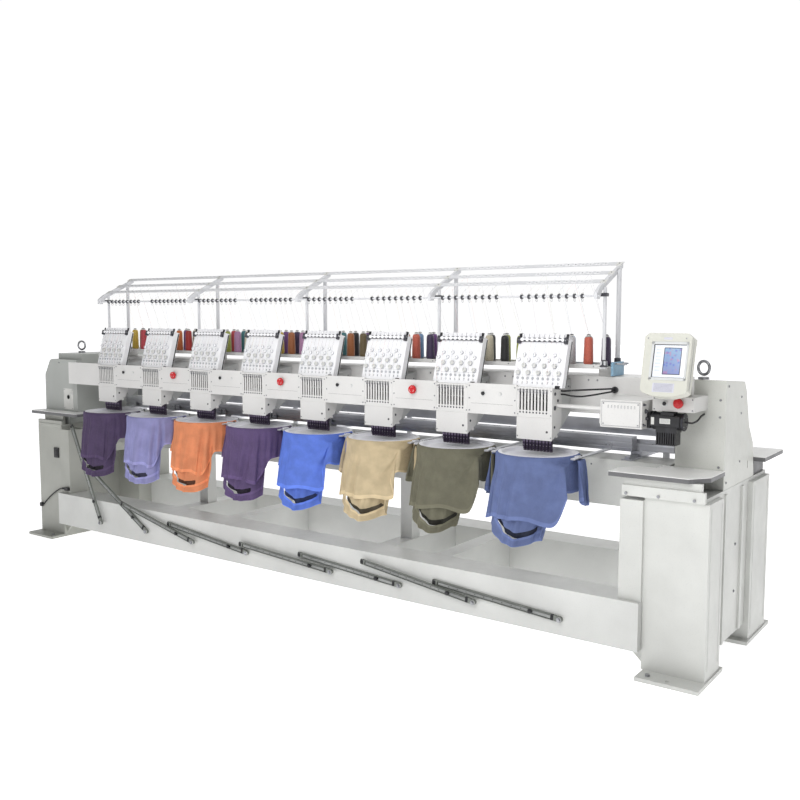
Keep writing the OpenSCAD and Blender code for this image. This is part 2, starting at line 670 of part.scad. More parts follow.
clamp_h = 16;
needle_tip = 934;
module needle_set(k) {
  post(needle_x(k), needle_y, bar_low, bar_top, bar_r);
  post(needle_x(k), needle_y, bar_low - 4, bar_low + clamp_h, 4.2);
  post(needle_x(k), needle_y, needle_tip, bar_low, 1);
}
foot_z = 931;
module presser_foot(k) translate([needle_x(k), needle_y, foot_z]) {
  difference() {
    union() {
      cylinder(h = 5, r = 7.4);
      box(-3, 3, 5.6, 9.6, 0, guide_zs[0] - foot_z - tiny);
    }
    translate([0, 0, -1]) cylinder(h = 7, r = 5);
  }
}
lever_len = 98;
lever_rise = 28;
lever_t = 2.6;
module take_up_lever(k) translate([needle_x(k) - lever_t / 2, lever_pivot_y, lever_pivot_z])
  rotate([-lever_rise, 0, 0]) difference() {
    union() {
      rod_x(0, lever_t, 0, 0, 8);
      yz_prism(0, lever_t, [[0, -6], [-lever_len + 8, -3], [-lever_len, 0], [-lever_len + 6, 4], [0, 6]]);
    }
    rod_x(-1, lever_t + 1, 0, 0, 3.06);
    rod_x(-1, lever_t + 1, -lever_len + 9, 0, 1.2);
  }
working_needle = 4;
idle_needles = [for (k = [0 : needle_count - 1]) if (k != working_needle) k];
module idle_needle_sets() color([0.35, 0.35, 0.38]) each_head() for (k = idle_needles) {
  needle_set(k);
  presser_foot(k);
  take_up_lever(k);
}
module needle_bars() color(steel) each_head() needle_set(working_needle);
module presser_feet() color(steel) each_head() presser_foot(working_needle);
module take_up_levers() color(steel) each_head() take_up_lever(working_needle);

// ---- Shafts and drive ------------------------------------------------------------

shaft_r = 12.5;
pulley_r = 48;
pulley_w = 26;
module belt_pulley(z) difference() {
  union() {
    rod_x(pulley_x, pulley_x + pulley_w, shaft_y, z, pulley_r);
    rod_x(pulley_x - 3, pulley_x, shaft_y, z, pulley_r + 5);
    rod_x(pulley_x + pulley_w, pulley_x + pulley_w + 3, shaft_y, z, pulley_r + 5);
  }
  for (a = [0 : 60 : 300])
    rod_x(pulley_x - 4, pulley_x + pulley_w + 4, shaft_y + 30 * cos(a), z + 30 * sin(a), 8);
}
module upper_shaft() color(steel) {
  rod_x(pulley_x, 2050, shaft_y, upper_shaft_z, shaft_r);
  belt_pulley(upper_shaft_z);
  each_head() difference() {
    rod_x(-34, -10, shaft_y, upper_shaft_z, 38);
    rod_x(-35, -9, shaft_y + 20, upper_shaft_z + 16, 7);
  }
}
hook_gear_r = 19.5;
drive_gear_r = 40;
module lower_shaft() color(steel) {
  rod_x(pulley_x, 1640, shaft_y, lower_shaft_z, 10);
  belt_pulley(lower_shaft_z);
  each_head() rod_x(-8, 8, shaft_y, lower_shaft_z, drive_gear_r);
}
belt_gap = 0.6;
main_motor_z = 1000;
module main_drive() color([0.16, 0.16, 0.17]) {
  // timing belt round the two pulleys
  r = pulley_r + belt_gap;
  translate([pulley_x + 2, 0, 0]) rotate([90, 0, 90]) linear_extrude(pulley_w - 4) difference() {
    union() {
      translate([shaft_y, upper_shaft_z]) circle(r = r + 4);
      translate([shaft_y, lower_shaft_z]) circle(r = r + 4);
      translate([shaft_y - r - 4, lower_shaft_z]) square([2 * r + 8, upper_shaft_z - lower_shaft_z]);
    }
    translate([shaft_y, upper_shaft_z]) circle(r = r);
    translate([shaft_y, lower_shaft_z]) circle(r = r);
    translate([shaft_y - r, lower_shaft_z]) square([2 * r, upper_shaft_z - lower_shaft_z]);
  }
  // main motor on a bracket inside the left housing
  rod_x(-2360, -2225, shaft_y, main_motor_z, 50);
  box(-2350, -2240, shaft_y - 40, shaft_y + 40, deck_z + tiny, main_motor_z - 20);
}

module rotary_hook(i) color(steel) translate([head_x(i), 0, 0]) {
  difference() {
    rod_y(0, -448, -426, hook_z, 25);
    rod_y(0, -449, -432, hook_z, 21);
    box(-8, 8, -449, -440, hook_z + 12, hook_z + 27);
  }
  rod_y(0, -427, shaft_y + 8, hook_z, 7);
  rod_y(0, shaft_y - 8, shaft_y + 8, hook_z, hook_gear_r);
}

// ---- Table support legs -------------------------------------------------------------

module table_leg(i) color([0.55, 0.58, 0.54]) translate([leg_x(i), leg_y(i), leg_pivot_z]) {
  rotate([0, leg_angles[i], 0]) difference() {
    union() {
      translate([-leg_len + leg_w / 2, 0, -leg_w / 2]) cube([leg_len - leg_w / 2, leg_d, leg_w]);
      rod_y(-leg_len + leg_w / 2, 0, leg_d, 0, leg_w / 2);
      rod_y(0, 0, leg_d, 0, leg_w / 2);
    }
    translate([-leg_len + 30, -1, -leg_w / 2 + 2.5]) cube([leg_len - 60, leg_d - 2, leg_w - 5]);
    rod_y(0, -1, leg_d + 1, 0, leg_pin_r + 0.05);
  }
}

// ---- Buttons and panel ---------------------------------------------------------------

module stop_button(x, y, z) color(red) {
  rod_y(x, y - 22, y - 10, z, stop_r);
  rod_y(x, y - 10.01, y + plate_t - 2, z, 7.4);
}
module start_button(x) color(dark) {
  rod_y(x, case_front_y - 8, case_front_y - 5, 1192, 9);
  rod_y(x, case_front_y - 5.01, case_front_y + plate_t - 2, 1192, 6.4);
}

panel_x0 = 2108;
panel_x1 = 2304;
panel_tilt = 14;
panel_h = 268;
panel_t = 62;
panel_back_t = 24;
panel_base = [-548, 1229];
screen = [2152, 2286, 80, 218];
module operator_panel() color([0.88, 0.88, 0.82]) {
  translate([0, panel_base[0], panel_base[1]]) rotate([-panel_tilt, 0, 0]) difference() {
    union() {
      xz_prism(0, panel_t, [
        [panel_x0 + 12, 14], [panel_x0 + 60, 0], [panel_x1 - 60, 0], [panel_x1 - 12, 14], [panel_x1, 26],
        [panel_x1 + 2, panel_h - 16], [panel_x1 - 16, panel_h], [panel_x0 + 16, panel_h],
        [panel_x0 - 2, panel_h - 16], [panel_x0, 26]]);
      box(panel_x0 + 14, panel_x1 - 14, panel_t - 0.01, panel_t + panel_back_t, 30, panel_h - 28);
    }
    // recess for the screen
    box(screen[0], screen[1], -1, 3, screen[2], screen[3]);
  }
  // rear lug with the tilt pin
  yz_prism(2130, 2249, [[-466, 1276], [tilt_y, 1272], [tilt_y, 1298], [-466, 1300]]);
  rod_x(2130, 2249, tilt_y, tilt_z, 17);
  rod_x(2119, 2259, tilt_y, tilt_z, leg_pin_r);
}

base_frame();
left_pedestal();
right_pedestal();
lifting_eyes_and_bolts();
bed_beam();
upper_beam();
left_housing();
right_housing();
arm_housings();
cylinder_arms();
side_tables();
spool_rack();
thread_cones();
thread_tree();
colour_change_box();
colour_change_motor();
control_station();
power_inlet();
mains_lead();
cable_loops();
pantograph_rails();
main_drive();
head_cases();
tension_boards();
link_plates();
idle_needle_sets();
needle_bars();
presser_feet();
take_up_levers();
upper_shaft();
lower_shaft();
pantograph_y_frame();
pantograph_x_frame();
hoops();
garments();
operator_panel();
rotary_hook(0);  // rotary_hook_1
rotary_hook(1);  // rotary_hook_2
rotary_hook(2);  // rotary_hook_3
rotary_hook(3);  // rotary_hook_4
rotary_hook(4);  // rotary_hook_5
rotary_hook(5);  // rotary_hook_6
rotary_hook(6);  // rotary_hook_7
rotary_hook(7);  // rotary_hook_8
table_leg(0);  // table_leg_1
table_leg(1);  // table_leg_2
table_leg(2);  // table_leg_3
table_leg(3);  // table_leg_4
table_leg(4);  // table_leg_5
table_leg(5);  // table_leg_6
table_leg(6);  // table_leg_7
table_leg(7);  // table_leg_8
stop_button(gap_x(1), case_front_y, 1192);  // stop_button_1
stop_button(gap_x(3), case_front_y, 1192);  // stop_button_2
stop_button(gap_x(5), case_front_y, 1192);  // stop_button_3
stop_button(main_stop_x, station_y, main_stop_z);  // main_stop_button
start_button(gap_x(0) - 46);  // start_button_1
start_button(gap_x(2) - 46);  // start_button_2
start_button(gap_x(4) - 46);  // start_button_3
start_button(gap_x(6) - 46);  // start_button_4
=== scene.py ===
"""Looks of the eight-head embroidery machine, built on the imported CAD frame.

Everything is in metres in the machine's own frame: +X to the operator's right, -Y towards the
operator, Z up, origin on the floor under the middle of the machine.
"""
import math
import random
import bpy
import bmesh
from mathutils import Matrix, Vector, noise


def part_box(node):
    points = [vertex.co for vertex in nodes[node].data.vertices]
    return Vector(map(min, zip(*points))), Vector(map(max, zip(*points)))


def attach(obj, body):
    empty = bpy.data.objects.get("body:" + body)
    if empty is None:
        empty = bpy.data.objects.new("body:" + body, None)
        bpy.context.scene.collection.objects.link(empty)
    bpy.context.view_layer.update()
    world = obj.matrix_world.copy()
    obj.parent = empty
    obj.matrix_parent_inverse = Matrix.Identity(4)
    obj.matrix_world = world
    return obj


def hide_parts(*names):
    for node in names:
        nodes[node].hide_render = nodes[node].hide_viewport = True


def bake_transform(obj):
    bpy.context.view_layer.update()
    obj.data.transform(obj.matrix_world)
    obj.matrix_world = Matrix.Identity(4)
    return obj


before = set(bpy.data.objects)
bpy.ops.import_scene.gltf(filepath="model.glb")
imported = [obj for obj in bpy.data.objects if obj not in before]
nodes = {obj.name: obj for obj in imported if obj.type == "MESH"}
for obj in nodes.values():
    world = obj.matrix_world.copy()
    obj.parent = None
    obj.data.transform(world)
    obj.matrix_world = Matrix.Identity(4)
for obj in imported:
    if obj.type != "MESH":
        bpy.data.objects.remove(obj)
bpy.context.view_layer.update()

HEADS = 8
NEEDLES = 9
WORKING = 4
PITCH = 0.45
HEAD_OFFSET = 0.005
NEEDLE_PITCH = 0.017
NEEDLE_Y = -0.420
CASE_HALF = 0.091
CASE_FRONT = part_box("head_cases")[0].y
BOARD_LOW = Vector((0, -0.451, 1.236))
BOARD_HIGH = Vector((0, -0.388, 1.458))
BOARD_LEN = (BOARD_HIGH - BOARD_LOW).length
KNOB_PITCH = 0.026
MAIN_KNOBS, UPPER_KNOBS = (0.062, 0.096), (0.124, 0.148)
SILL_TOP = 0.322
TABLE_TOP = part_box("side_tables")[1].z
HOOP_R = 0.190
HOOP_Z0, HOOP_Z1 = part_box("hoops")[0].z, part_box("hoops")[1].z


def head_x(i):
    return (i - (HEADS - 1) / 2) * PITCH


def needle_x(k):
    return (k - (NEEDLES - 1) / 2) * NEEDLE_PITCH


def gap_x(i):
    return head_x(i) + PITCH / 2 + HEAD_OFFSET


def lerp(a, b, t):
    return a + (b - a) * t


# ---- Camera -------------------------------------------------------------------------------

CAMERA_PLACE = (3.5396, -4.2371, 1.5681)
CAMERA_TILT, CAMERA_TURN = 84.645, 35.87
LENS, SENSOR = 41.28, 36


def place_camera():
    """The camera fitted to the photograph's straight lines."""
    data = bpy.data.cameras.new("camera")
    data.lens = LENS
    data.sensor_width = SENSOR
    data.clip_end = 100
    camera = bpy.data.objects.new("camera", data)
    bpy.context.scene.collection.objects.link(camera)
    turn = (Matrix.Rotation(math.radians(CAMERA_TURN), 4, "Z")
            @ Matrix.Rotation(math.radians(CAMERA_TILT), 4, "X"))
    camera.matrix_world = Matrix.Translation(CAMERA_PLACE) @ turn
    bpy.context.scene.camera = camera


place_camera()

# ---- Materials ------------------------------------------------------------------------------


def linear(rgb):
    """Display colour 0-255 to the linear colour that a shader takes."""
    return tuple(((c / 255 + 0.055) / 1.055) ** 2.4 if c > 10 else c / 255 / 12.92 for c in rgb) + (1.0,)


def shade(rgb, factor):
    return tuple(max(0, min(255, c * factor)) for c in rgb)


class Finish:
    """Builds one node-based material step by step."""

    def __init__(self, name):
        self.material = bpy.data.materials.new(name)
        self.material.use_nodes = True
        self.tree = self.material.node_tree
        self.shader = self.tree.nodes["Principled BSDF"]
        self.place = self.node("ShaderNodeTexCoord").outputs["Object"]
        self.height = None

    def node(self, kind, **inputs):
        n = self.tree.nodes.new(kind)
        for key, value in inputs.items():
            self.feed(n.inputs[key.replace("_", " ")], value)
        return n

    def feed(self, socket, value):
        if isinstance(value, bpy.types.NodeSocket):
            self.tree.links.new(value, socket)
        else:
            socket.default_value = value

    def stretched(self, x, y, z):
        n = self.node("ShaderNodeMapping", Vector=self.place)
        n.inputs["Scale"].default_value = (x, y, z)
        return n.outputs["Vector"]

    def noise(self, scale, detail=4.0, at=None):
        n = self.node("ShaderNodeTexNoise", Vector=at or self.place, Scale=scale, Detail=detail)
        return n.outputs["Fac"]

    def voronoi(self, scale, at=None):
        n = self.node("ShaderNodeTexVoronoi", Vector=at or self.place, Scale=scale)
        return n.outputs["Distance"]

    def waves(self, scale, axis, distortion=0.0, at=None):
        n = self.node("ShaderNodeTexWave", Vector=at or self.place, Scale=scale, Distortion=distortion)
        n.bands_direction = axis
        return n.outputs["Fac"]

    def remap(self, value, a, b, lo=0.3, hi=0.7):
        n = self.node("ShaderNodeMapRange", Value=value)
        for key, number in (("From Min", lo), ("From Max", hi), ("To Min", a), ("To Max", b)):
            n.inputs[key].default_value = number
        return n.outputs["Result"]

    def mixed(self, factor, a, b):
        n = self.node("ShaderNodeMix")
        n.data_type = "RGBA"
        self.feed(n.inputs[0], factor)
        self.feed(n.inputs[6], a)
        self.feed(n.inputs[7], b)
        return n.outputs[2]

    def along(self, axis):
        return self.node("ShaderNodeSeparateXYZ", Vector=self.place).outputs[axis]

    def sum(self, a, b, weight=1.0):
        n = self.node("ShaderNodeMath")
        n.operation = "MULTIPLY_ADD"
        self.feed(n.inputs[0], b)
        n.inputs[1].default_value = weight
        self.feed(n.inputs[2], a)
        return n.outputs[0]

    def times(self, a, b):
        n = self.node("ShaderNodeMath")
        n.operation = "MULTIPLY"
        self.feed(n.inputs[0], a)
        self.feed(n.inputs[1], b)
        return n.outputs[0]

    def bump(self, height, depth):
        n = self.node("ShaderNodeBump", Height=height)
        n.inputs["Strength"].default_value = 1.0
        n.inputs["Distance"].default_value = depth
        self.feed(self.shader.inputs["Normal"], n.outputs["Normal"])

    def done(self, color, rough, metal=0.0, **extra):
        self.feed(self.shader.inputs["Base Color"], color)
        self.feed(self.shader.inputs["Roughness"], rough)
        self.shader.inputs["Metallic"].default_value = metal
        for key, value in extra.items():
            self.shader.inputs[key.replace("_", " ")].default_value = value
        return self.material


def painted(name, rgb, rough=0.42, peel=0.00006, grime=0.93, coat=0.0):
    """Sprayed or powder-coated metal: slight orange peel, dust clouds, and darker towards the floor."""
    f = Finish(name)
    clouds = f.remap(f.noise(3.2, 5.0), 0.0, 1.0, 0.35, 0.7)
    specks = f.remap(f.noise(160.0, 2.0), 0.0, 1.0, 0.60, 0.68)
    base = f.mixed(clouds, linear(rgb), linear(shade(rgb, grime)))
    base = f.mixed(f.times(specks, 0.10), base, linear(shade(rgb, 0.70)))
    # darker in the lowest 0.3 m, towards the floor
    low = f.remap(f.along("Z"), 0.30, 0.0, 0.0, 0.30)
    base = f.mixed(low, base, linear(shade(rgb, 0.82)))
    f.bump(f.sum(f.noise(900.0, 2.0), f.noise(60.0, 2.0), 0.8), peel)
    return f.done(base, f.remap(f.noise(22.0, 4.0), rough - 0.07, rough + 0.10), Coat_Weight=coat,
                  Coat_Roughness=0.25)


def metal(name, rgb, rough=0.28, grain=(1, 1, 1), depth=0.00002, dull=0.80):
    """Machined or drawn metal with a grain that runs along the least scaled axis."""
    f = Finish(name)
    lines = f.noise(140.0, 3.0, f.stretched(*grain))
    stains = f.remap(f.noise(7.0, 5.0), 0.0, 1.0)
    base = f.mixed(stains, linear(rgb), linear(shade(rgb, dull)))
    f.bump(lines, depth)
    return f.done(base, f.remap(lines, rough - 0.08, rough + 0.14), 1.0)


def plastic(name, rgb, rough=0.38, texture=0.00005, wear=1.12):
    """Moulded plastic: fine spark texture with a few rubbed patches."""
    f = Finish(name)
    rubbed = f.remap(f.noise(26.0, 6.0), 0.0, 1.0, 0.52, 0.75)
    base = f.mixed(rubbed, linear(rgb), linear(shade(rgb, wear)))
    f.bump(f.voronoi(1500.0), texture)
    return f.done(base, f.remap(f.noise(40.0, 4.0), rough - 0.06, rough + 0.12))


def laminate(name, rgb, edge_and_shade_rgb):
    """A laminated top face over a dark band on its edges and underside: a dark edge band, and painted shade
    under the top.
    """
    f = Finish(name)
    speck = f.remap(f.noise(420.0, 2.0), 0.0, 1.0, 0.55, 0.66)
    base = f.mixed(f.times(speck, 0.35), linear(rgb), linear(shade(rgb, 0.86)))
    base = f.mixed(f.remap(f.noise(2.2, 4.0), 0.0, 0.6), base, linear(shade(rgb, 0.95)))
    # below the top face it is dark: the edge band on the sides, painted shade on the underside
    band = f.remap(f.along("Z"), 1.0, 0.0, TABLE_TOP - 0.0030, TABLE_TOP - 0.0022)
    base = f.mixed(band, base, linear(edge_and_shade_rgb))
    f.bump(f.noise(700.0, 3.0), 0.00004)
    return f.done(base, f.remap(f.noise(9.0, 5.0), 0.34, 0.55))


def two_tone(name, low_rgb, high_rgb, height):
    """Steel above a height, dark purple-grey parts below it."""
    f = Finish(name)
    above = f.remap(f.along("Z"), 0.0, 1.0, height - 0.001, height + 0.001)
    stains = f.remap(f.noise(60.0, 4.0), 0.0, 1.0)
    lower = f.mixed(stains, linear(low_rgb), linear(shade(low_rgb, 1.25)))
    upper = f.mixed(stains, linear(high_rgb), linear(shade(high_rgb, 0.8)))
    f.bump(f.noise(500.0, 3.0), 0.00003)
    material = f.done(f.mixed(above, lower, upper), f.remap(f.noise(90.0), 0.22, 0.42))
    f.feed(f.shader.inputs["Metallic"], f.remap(f.along("Z"), 0.25, 0.9, height - 0.001, height + 0.001))
    return material


def knit(name, rgb, band=1.0, fuzz=0.35):
    """Cotton jersey: fine ribs, soft creases that are lighter on their tops and darker in their hollows
    (painted light and shade), and a fuzzy sheen.
    """
    f = Finish(name)
    ribs = f.waves(260.0, "X", 1.5)
    rows = f.waves(190.0, "Z", 1.0)
    creases = f.noise(16.0, 5.0)
    # the colour follows the crease bumps, lighter on top and darker in the hollows: painted light and shade
    crease_shade = f.remap(creases, 0.0, 1.0, 0.38, 0.68)
    yarn = f.times(f.remap(ribs, 0.75, 1.0, 0.0, 1.0), f.remap(rows, 0.85, 1.0, 0.0, 1.0))
    base = f.mixed(crease_shade, linear(shade(rgb, 0.93 * band)), linear(shade(rgb, 1.03 * band)))
    base = f.mixed(f.remap(yarn, 0.22, 0.0, 0.6, 1.0), base, linear(shade(rgb, 0.62 * band)))
    height = f.sum(f.times(creases, 9.0), f.times(ribs, rows), 0.8)
    f.bump(height, 0.00022)
    return f.done(base, f.remap(f.noise(120.0), 0.78, 0.95), Sheen_Weight=fuzz, Sheen_Roughness=0.5,
                  Sheen_Tint=linear(shade(rgb, 1.25)))


def wound(name, rgb):
    """Polyester thread wound on a cone: crossing strands with a satin gloss."""
    f = Finish(name)
    strands = f.waves(420.0, "Z", 2.5)
    cross = f.waves(300.0, "DIAGONAL", 3.0)
    both = f.times(strands, cross)
    base = f.mixed(f.remap(both, 0.0, 1.0, 0.0, 0.8), linear(shade(rgb, 0.72)), linear(shade(rgb, 1.10)))
    base = f.mixed(f.remap(f.noise(30.0), 0.0, 0.35), base, linear(shade(rgb, 0.80)))
    f.bump(both, 0.0002)
    return f.done(base, f.remap(cross, 0.32, 0.55, 0.0, 1.0), Sheen_Weight=0.25)


def screen_glass(name, at, size):
    """A lit screen: a pale page with a dark-framed picture of soft coloured shapes and a side list."""
    f = Finish(name)
    x = f.remap(f.along("X"), 0.0, 1.0, at[0], at[0] + size[0])
    z = f.remap(f.along("Z"), 0.0, 1.0, at[1], at[1] + size[1])

    def field(x0, x1, z0, z1, soft=0.008):
        across = f.times(f.remap(x, 0.0, 1.0, x0, x0 + soft), f.remap(x, 1.0, 0.0, x1 - soft, x1))
        return f.times(across,
                       f.times(f.remap(z, 0.0, 1.0, z0, z0 + soft), f.remap(z, 1.0, 0.0, z1 - soft, z1)))

    page = f.mixed(f.remap(f.noise(40.0), 0.0, 1.0), linear((226, 232, 240)), linear((236, 240, 244)))
    rows = f.times(field(0.05, 0.24, 0.10, 0.90), f.remap(f.waves(22.0, "Z"), 0.0, 1.0, 0.30, 0.40))
    page = f.mixed(f.times(rows, 0.4), page, linear((150, 164, 190)))
    page = f.mixed(field(0.30, 0.88, 0.08, 0.93), page, linear((62, 66, 84)))
    sky = f.mixed(z, linear((112, 120, 170)), linear((120, 154, 184)))
    sky = f.mixed(f.remap(f.voronoi(60.0), 0.8, 0.0, 0.15, 0.45), sky, linear((84, 104, 176)))
    sky = f.mixed(f.remap(f.noise(70.0, 2.0), 0.0, 0.4, 0.55, 0.63), sky, linear((176, 92, 126)))
    page = f.mixed(field(0.33, 0.85, 0.11, 0.90), page, sky)
    f.feed(f.shader.inputs["Emission Color"], page)
    return f.done(page, f.remap(f.noise(30.0), 0.10, 0.20), Emission_Strength=0.18)


def glowing_floor(name):
    f = Finish(name)
    base = f.mixed(f.remap(f.noise(0.8, 3.0), 0.0, 1.0), linear((252, 252, 252)), linear((249, 249, 250)))
    f.feed(f.shader.inputs["Emission Color"], base)
    f.shader.inputs["Emission Strength"].default_value = 0.74
    f.bump(f.noise(90.0, 3.0), 0.00004)
    return f.done(base, f.remap(f.noise(3.0), 0.65, 0.8))


grey_paint = painted("grey_paint", (214, 215, 211))
# darker copy of grey_paint for the left pedestal: painted shade on the machine's left end
shaded_paint = painted("shaded_paint", (176, 177, 170))
sill_paint = painted("sill_paint", (216, 217, 214), rough=0.38)
cream_paint = painted("cream_paint", (220, 219, 217), rough=0.36, grime=0.96, coat=0.15)
housing_paint = painted("housing_paint", (210, 211, 205), rough=0.38, grime=0.95, coat=0.15)
# darker copy of housing_paint for the left housing: painted shade on the machine's left end
shaded_housing = painted("shaded_housing", (178, 181, 177), rough=0.38, grime=0.95, coat=0.15)
cast_paint = painted("cast_paint", (205, 206, 205), rough=0.46, peel=0.00016)
board_white = plastic("board_white", (246, 246, 248), rough=0.34, wear=0.97)
laminate_white = laminate("laminate_white", (244, 244, 242), (104, 104, 106))
panel_shell = plastic("panel_shell", (206, 206, 196), rough=0.42, wear=0.97)
panel_bezel = plastic("panel_bezel", (206, 208, 208), rough=0.35, wear=0.96)
black_plastic = plastic("black_plastic", (30, 30, 33), rough=0.40, wear=1.6)
dark_plastic = plastic("dark_plastic", (62, 62, 68), rough=0.42, wear=1.25)
red_plastic = plastic("red_plastic", (196, 26, 34), rough=0.25, wear=0.88)
hoop_plastic = plastic("hoop_plastic", (226, 227, 232), rough=0.32, wear=0.95)
disc_grey = plastic("disc_grey", (186, 188, 192), rough=0.30, wear=1.1)
figure_grey = plastic("figure_grey", (128, 130, 136), rough=0.5, wear=1.15)
label_white = plastic("label_white", (214, 214, 210), rough=0.55, wear=0.92)
bright_steel = metal("bright_steel", (206, 207, 211), 0.26, (1, 0.03, 1))
turned_steel = metal("turned_steel", (190, 191, 196), 0.24, (0.03, 1, 1))
rail_metal = metal("rail_metal", (212, 213, 218), 0.36, (0.02, 1, 1), dull=0.88)
screw_steel = metal("screw_steel", (172, 173, 177), 0.30, (1, 1, 1))
dark_iron = metal("dark_iron", (70, 70, 76), 0.44, (1, 1, 1), 0.00006)
needle_metal = two_tone("needle_metal", (70, 62, 76), (178, 179, 184), 1.0)
leg_paint = painted("leg_paint", (122, 126, 120), rough=0.34)
leg_inner = metal("leg_inner", (150, 152, 150), 0.34, (0.05, 1, 1))
rubber = plastic("rubber", (34, 34, 36), rough=0.75, texture=0.00010, wear=1.35)
sheath = plastic("sheath", (28, 28, 31), rough=0.48, texture=0.00008, wear=1.4)
# near-black for holes and the inside of the needle cases: painted shadow
hole_shadow_black = plastic("hole_shadow_black", (16, 16, 18), rough=0.8, wear=1.3)
slot_white = plastic("slot_white", (246, 246, 247), rough=0.45, wear=0.98)
tree_grey = painted("tree_grey", (220, 221, 224), rough=0.35, grime=0.95)
clamp_dark = metal("clamp_dark", (78, 68, 88), 0.42, (1, 1, 1), 0.00006)
clamp_light = metal("clamp_light", (126, 116, 138), 0.36, (1, 1, 1), 0.00004)
plate_lilac = plastic("plate_lilac", (206, 206, 218), rough=0.45, wear=0.95)
pale_blue = plastic("pale_blue", (142, 180, 206), rough=0.45, wear=0.9)
screen_finish = screen_glass("screen_glass", (2.1525, 1.307), (0.133, 0.133))
floor_finish = glowing_floor("floor_finish")

SHIRTS = {
    "shirt_1": (76, 61, 92), "shirt_2": (143, 143, 190), "shirt_3": (221, 138, 96),
    "shirt_4": (90, 72, 112), "shirt_5": (91, 121, 213), "shirt_6": (196, 178, 144),
    "shirt_7": (106, 104, 87), "shirt_8": (98, 112, 156),
}
shirt_knits = [knit(name, rgb) for name, rgb in SHIRTS.items()]
rib_knits = [knit(name + "_rib", rgb, 1.13) for name, rgb in SHIRTS.items()]

THREADS = {
    "yellow": (226, 192, 74), "pink_red": (208, 74, 84), "orange": (222, 122, 60), "red": (186, 46, 44),
    "lime": (176, 184, 84), "lilac": (192, 142, 182), "purple": (122, 74, 142), "plum": (64, 46, 84),
    "rust": (180, 108, 58), "peach": (224, 172, 132), "olive": (112, 96, 62), "cream_thread": (228, 218, 192),
    "ink": (28, 28, 32), "coral": (226, 112, 90), "teal": (70, 132, 138), "sky": (128, 164, 204),
    "white_thread": (226, 226, 228), "leaf": (86, 138, 84),
}
threads = {name: wound(name, rgb) for name, rgb in THREADS.items()}

# ---- Shapes ---------------------------------------------------------------------------------


def basis(axis):
    """Two unit vectors across an axis."""
    axis = Vector(axis).normalized()
    helper = Vector((0, 0, 1)) if abs(axis.z) < 0.9 else Vector((1, 0, 0))
    side = axis.cross(helper).normalized()
    return axis, side, axis.cross(side)


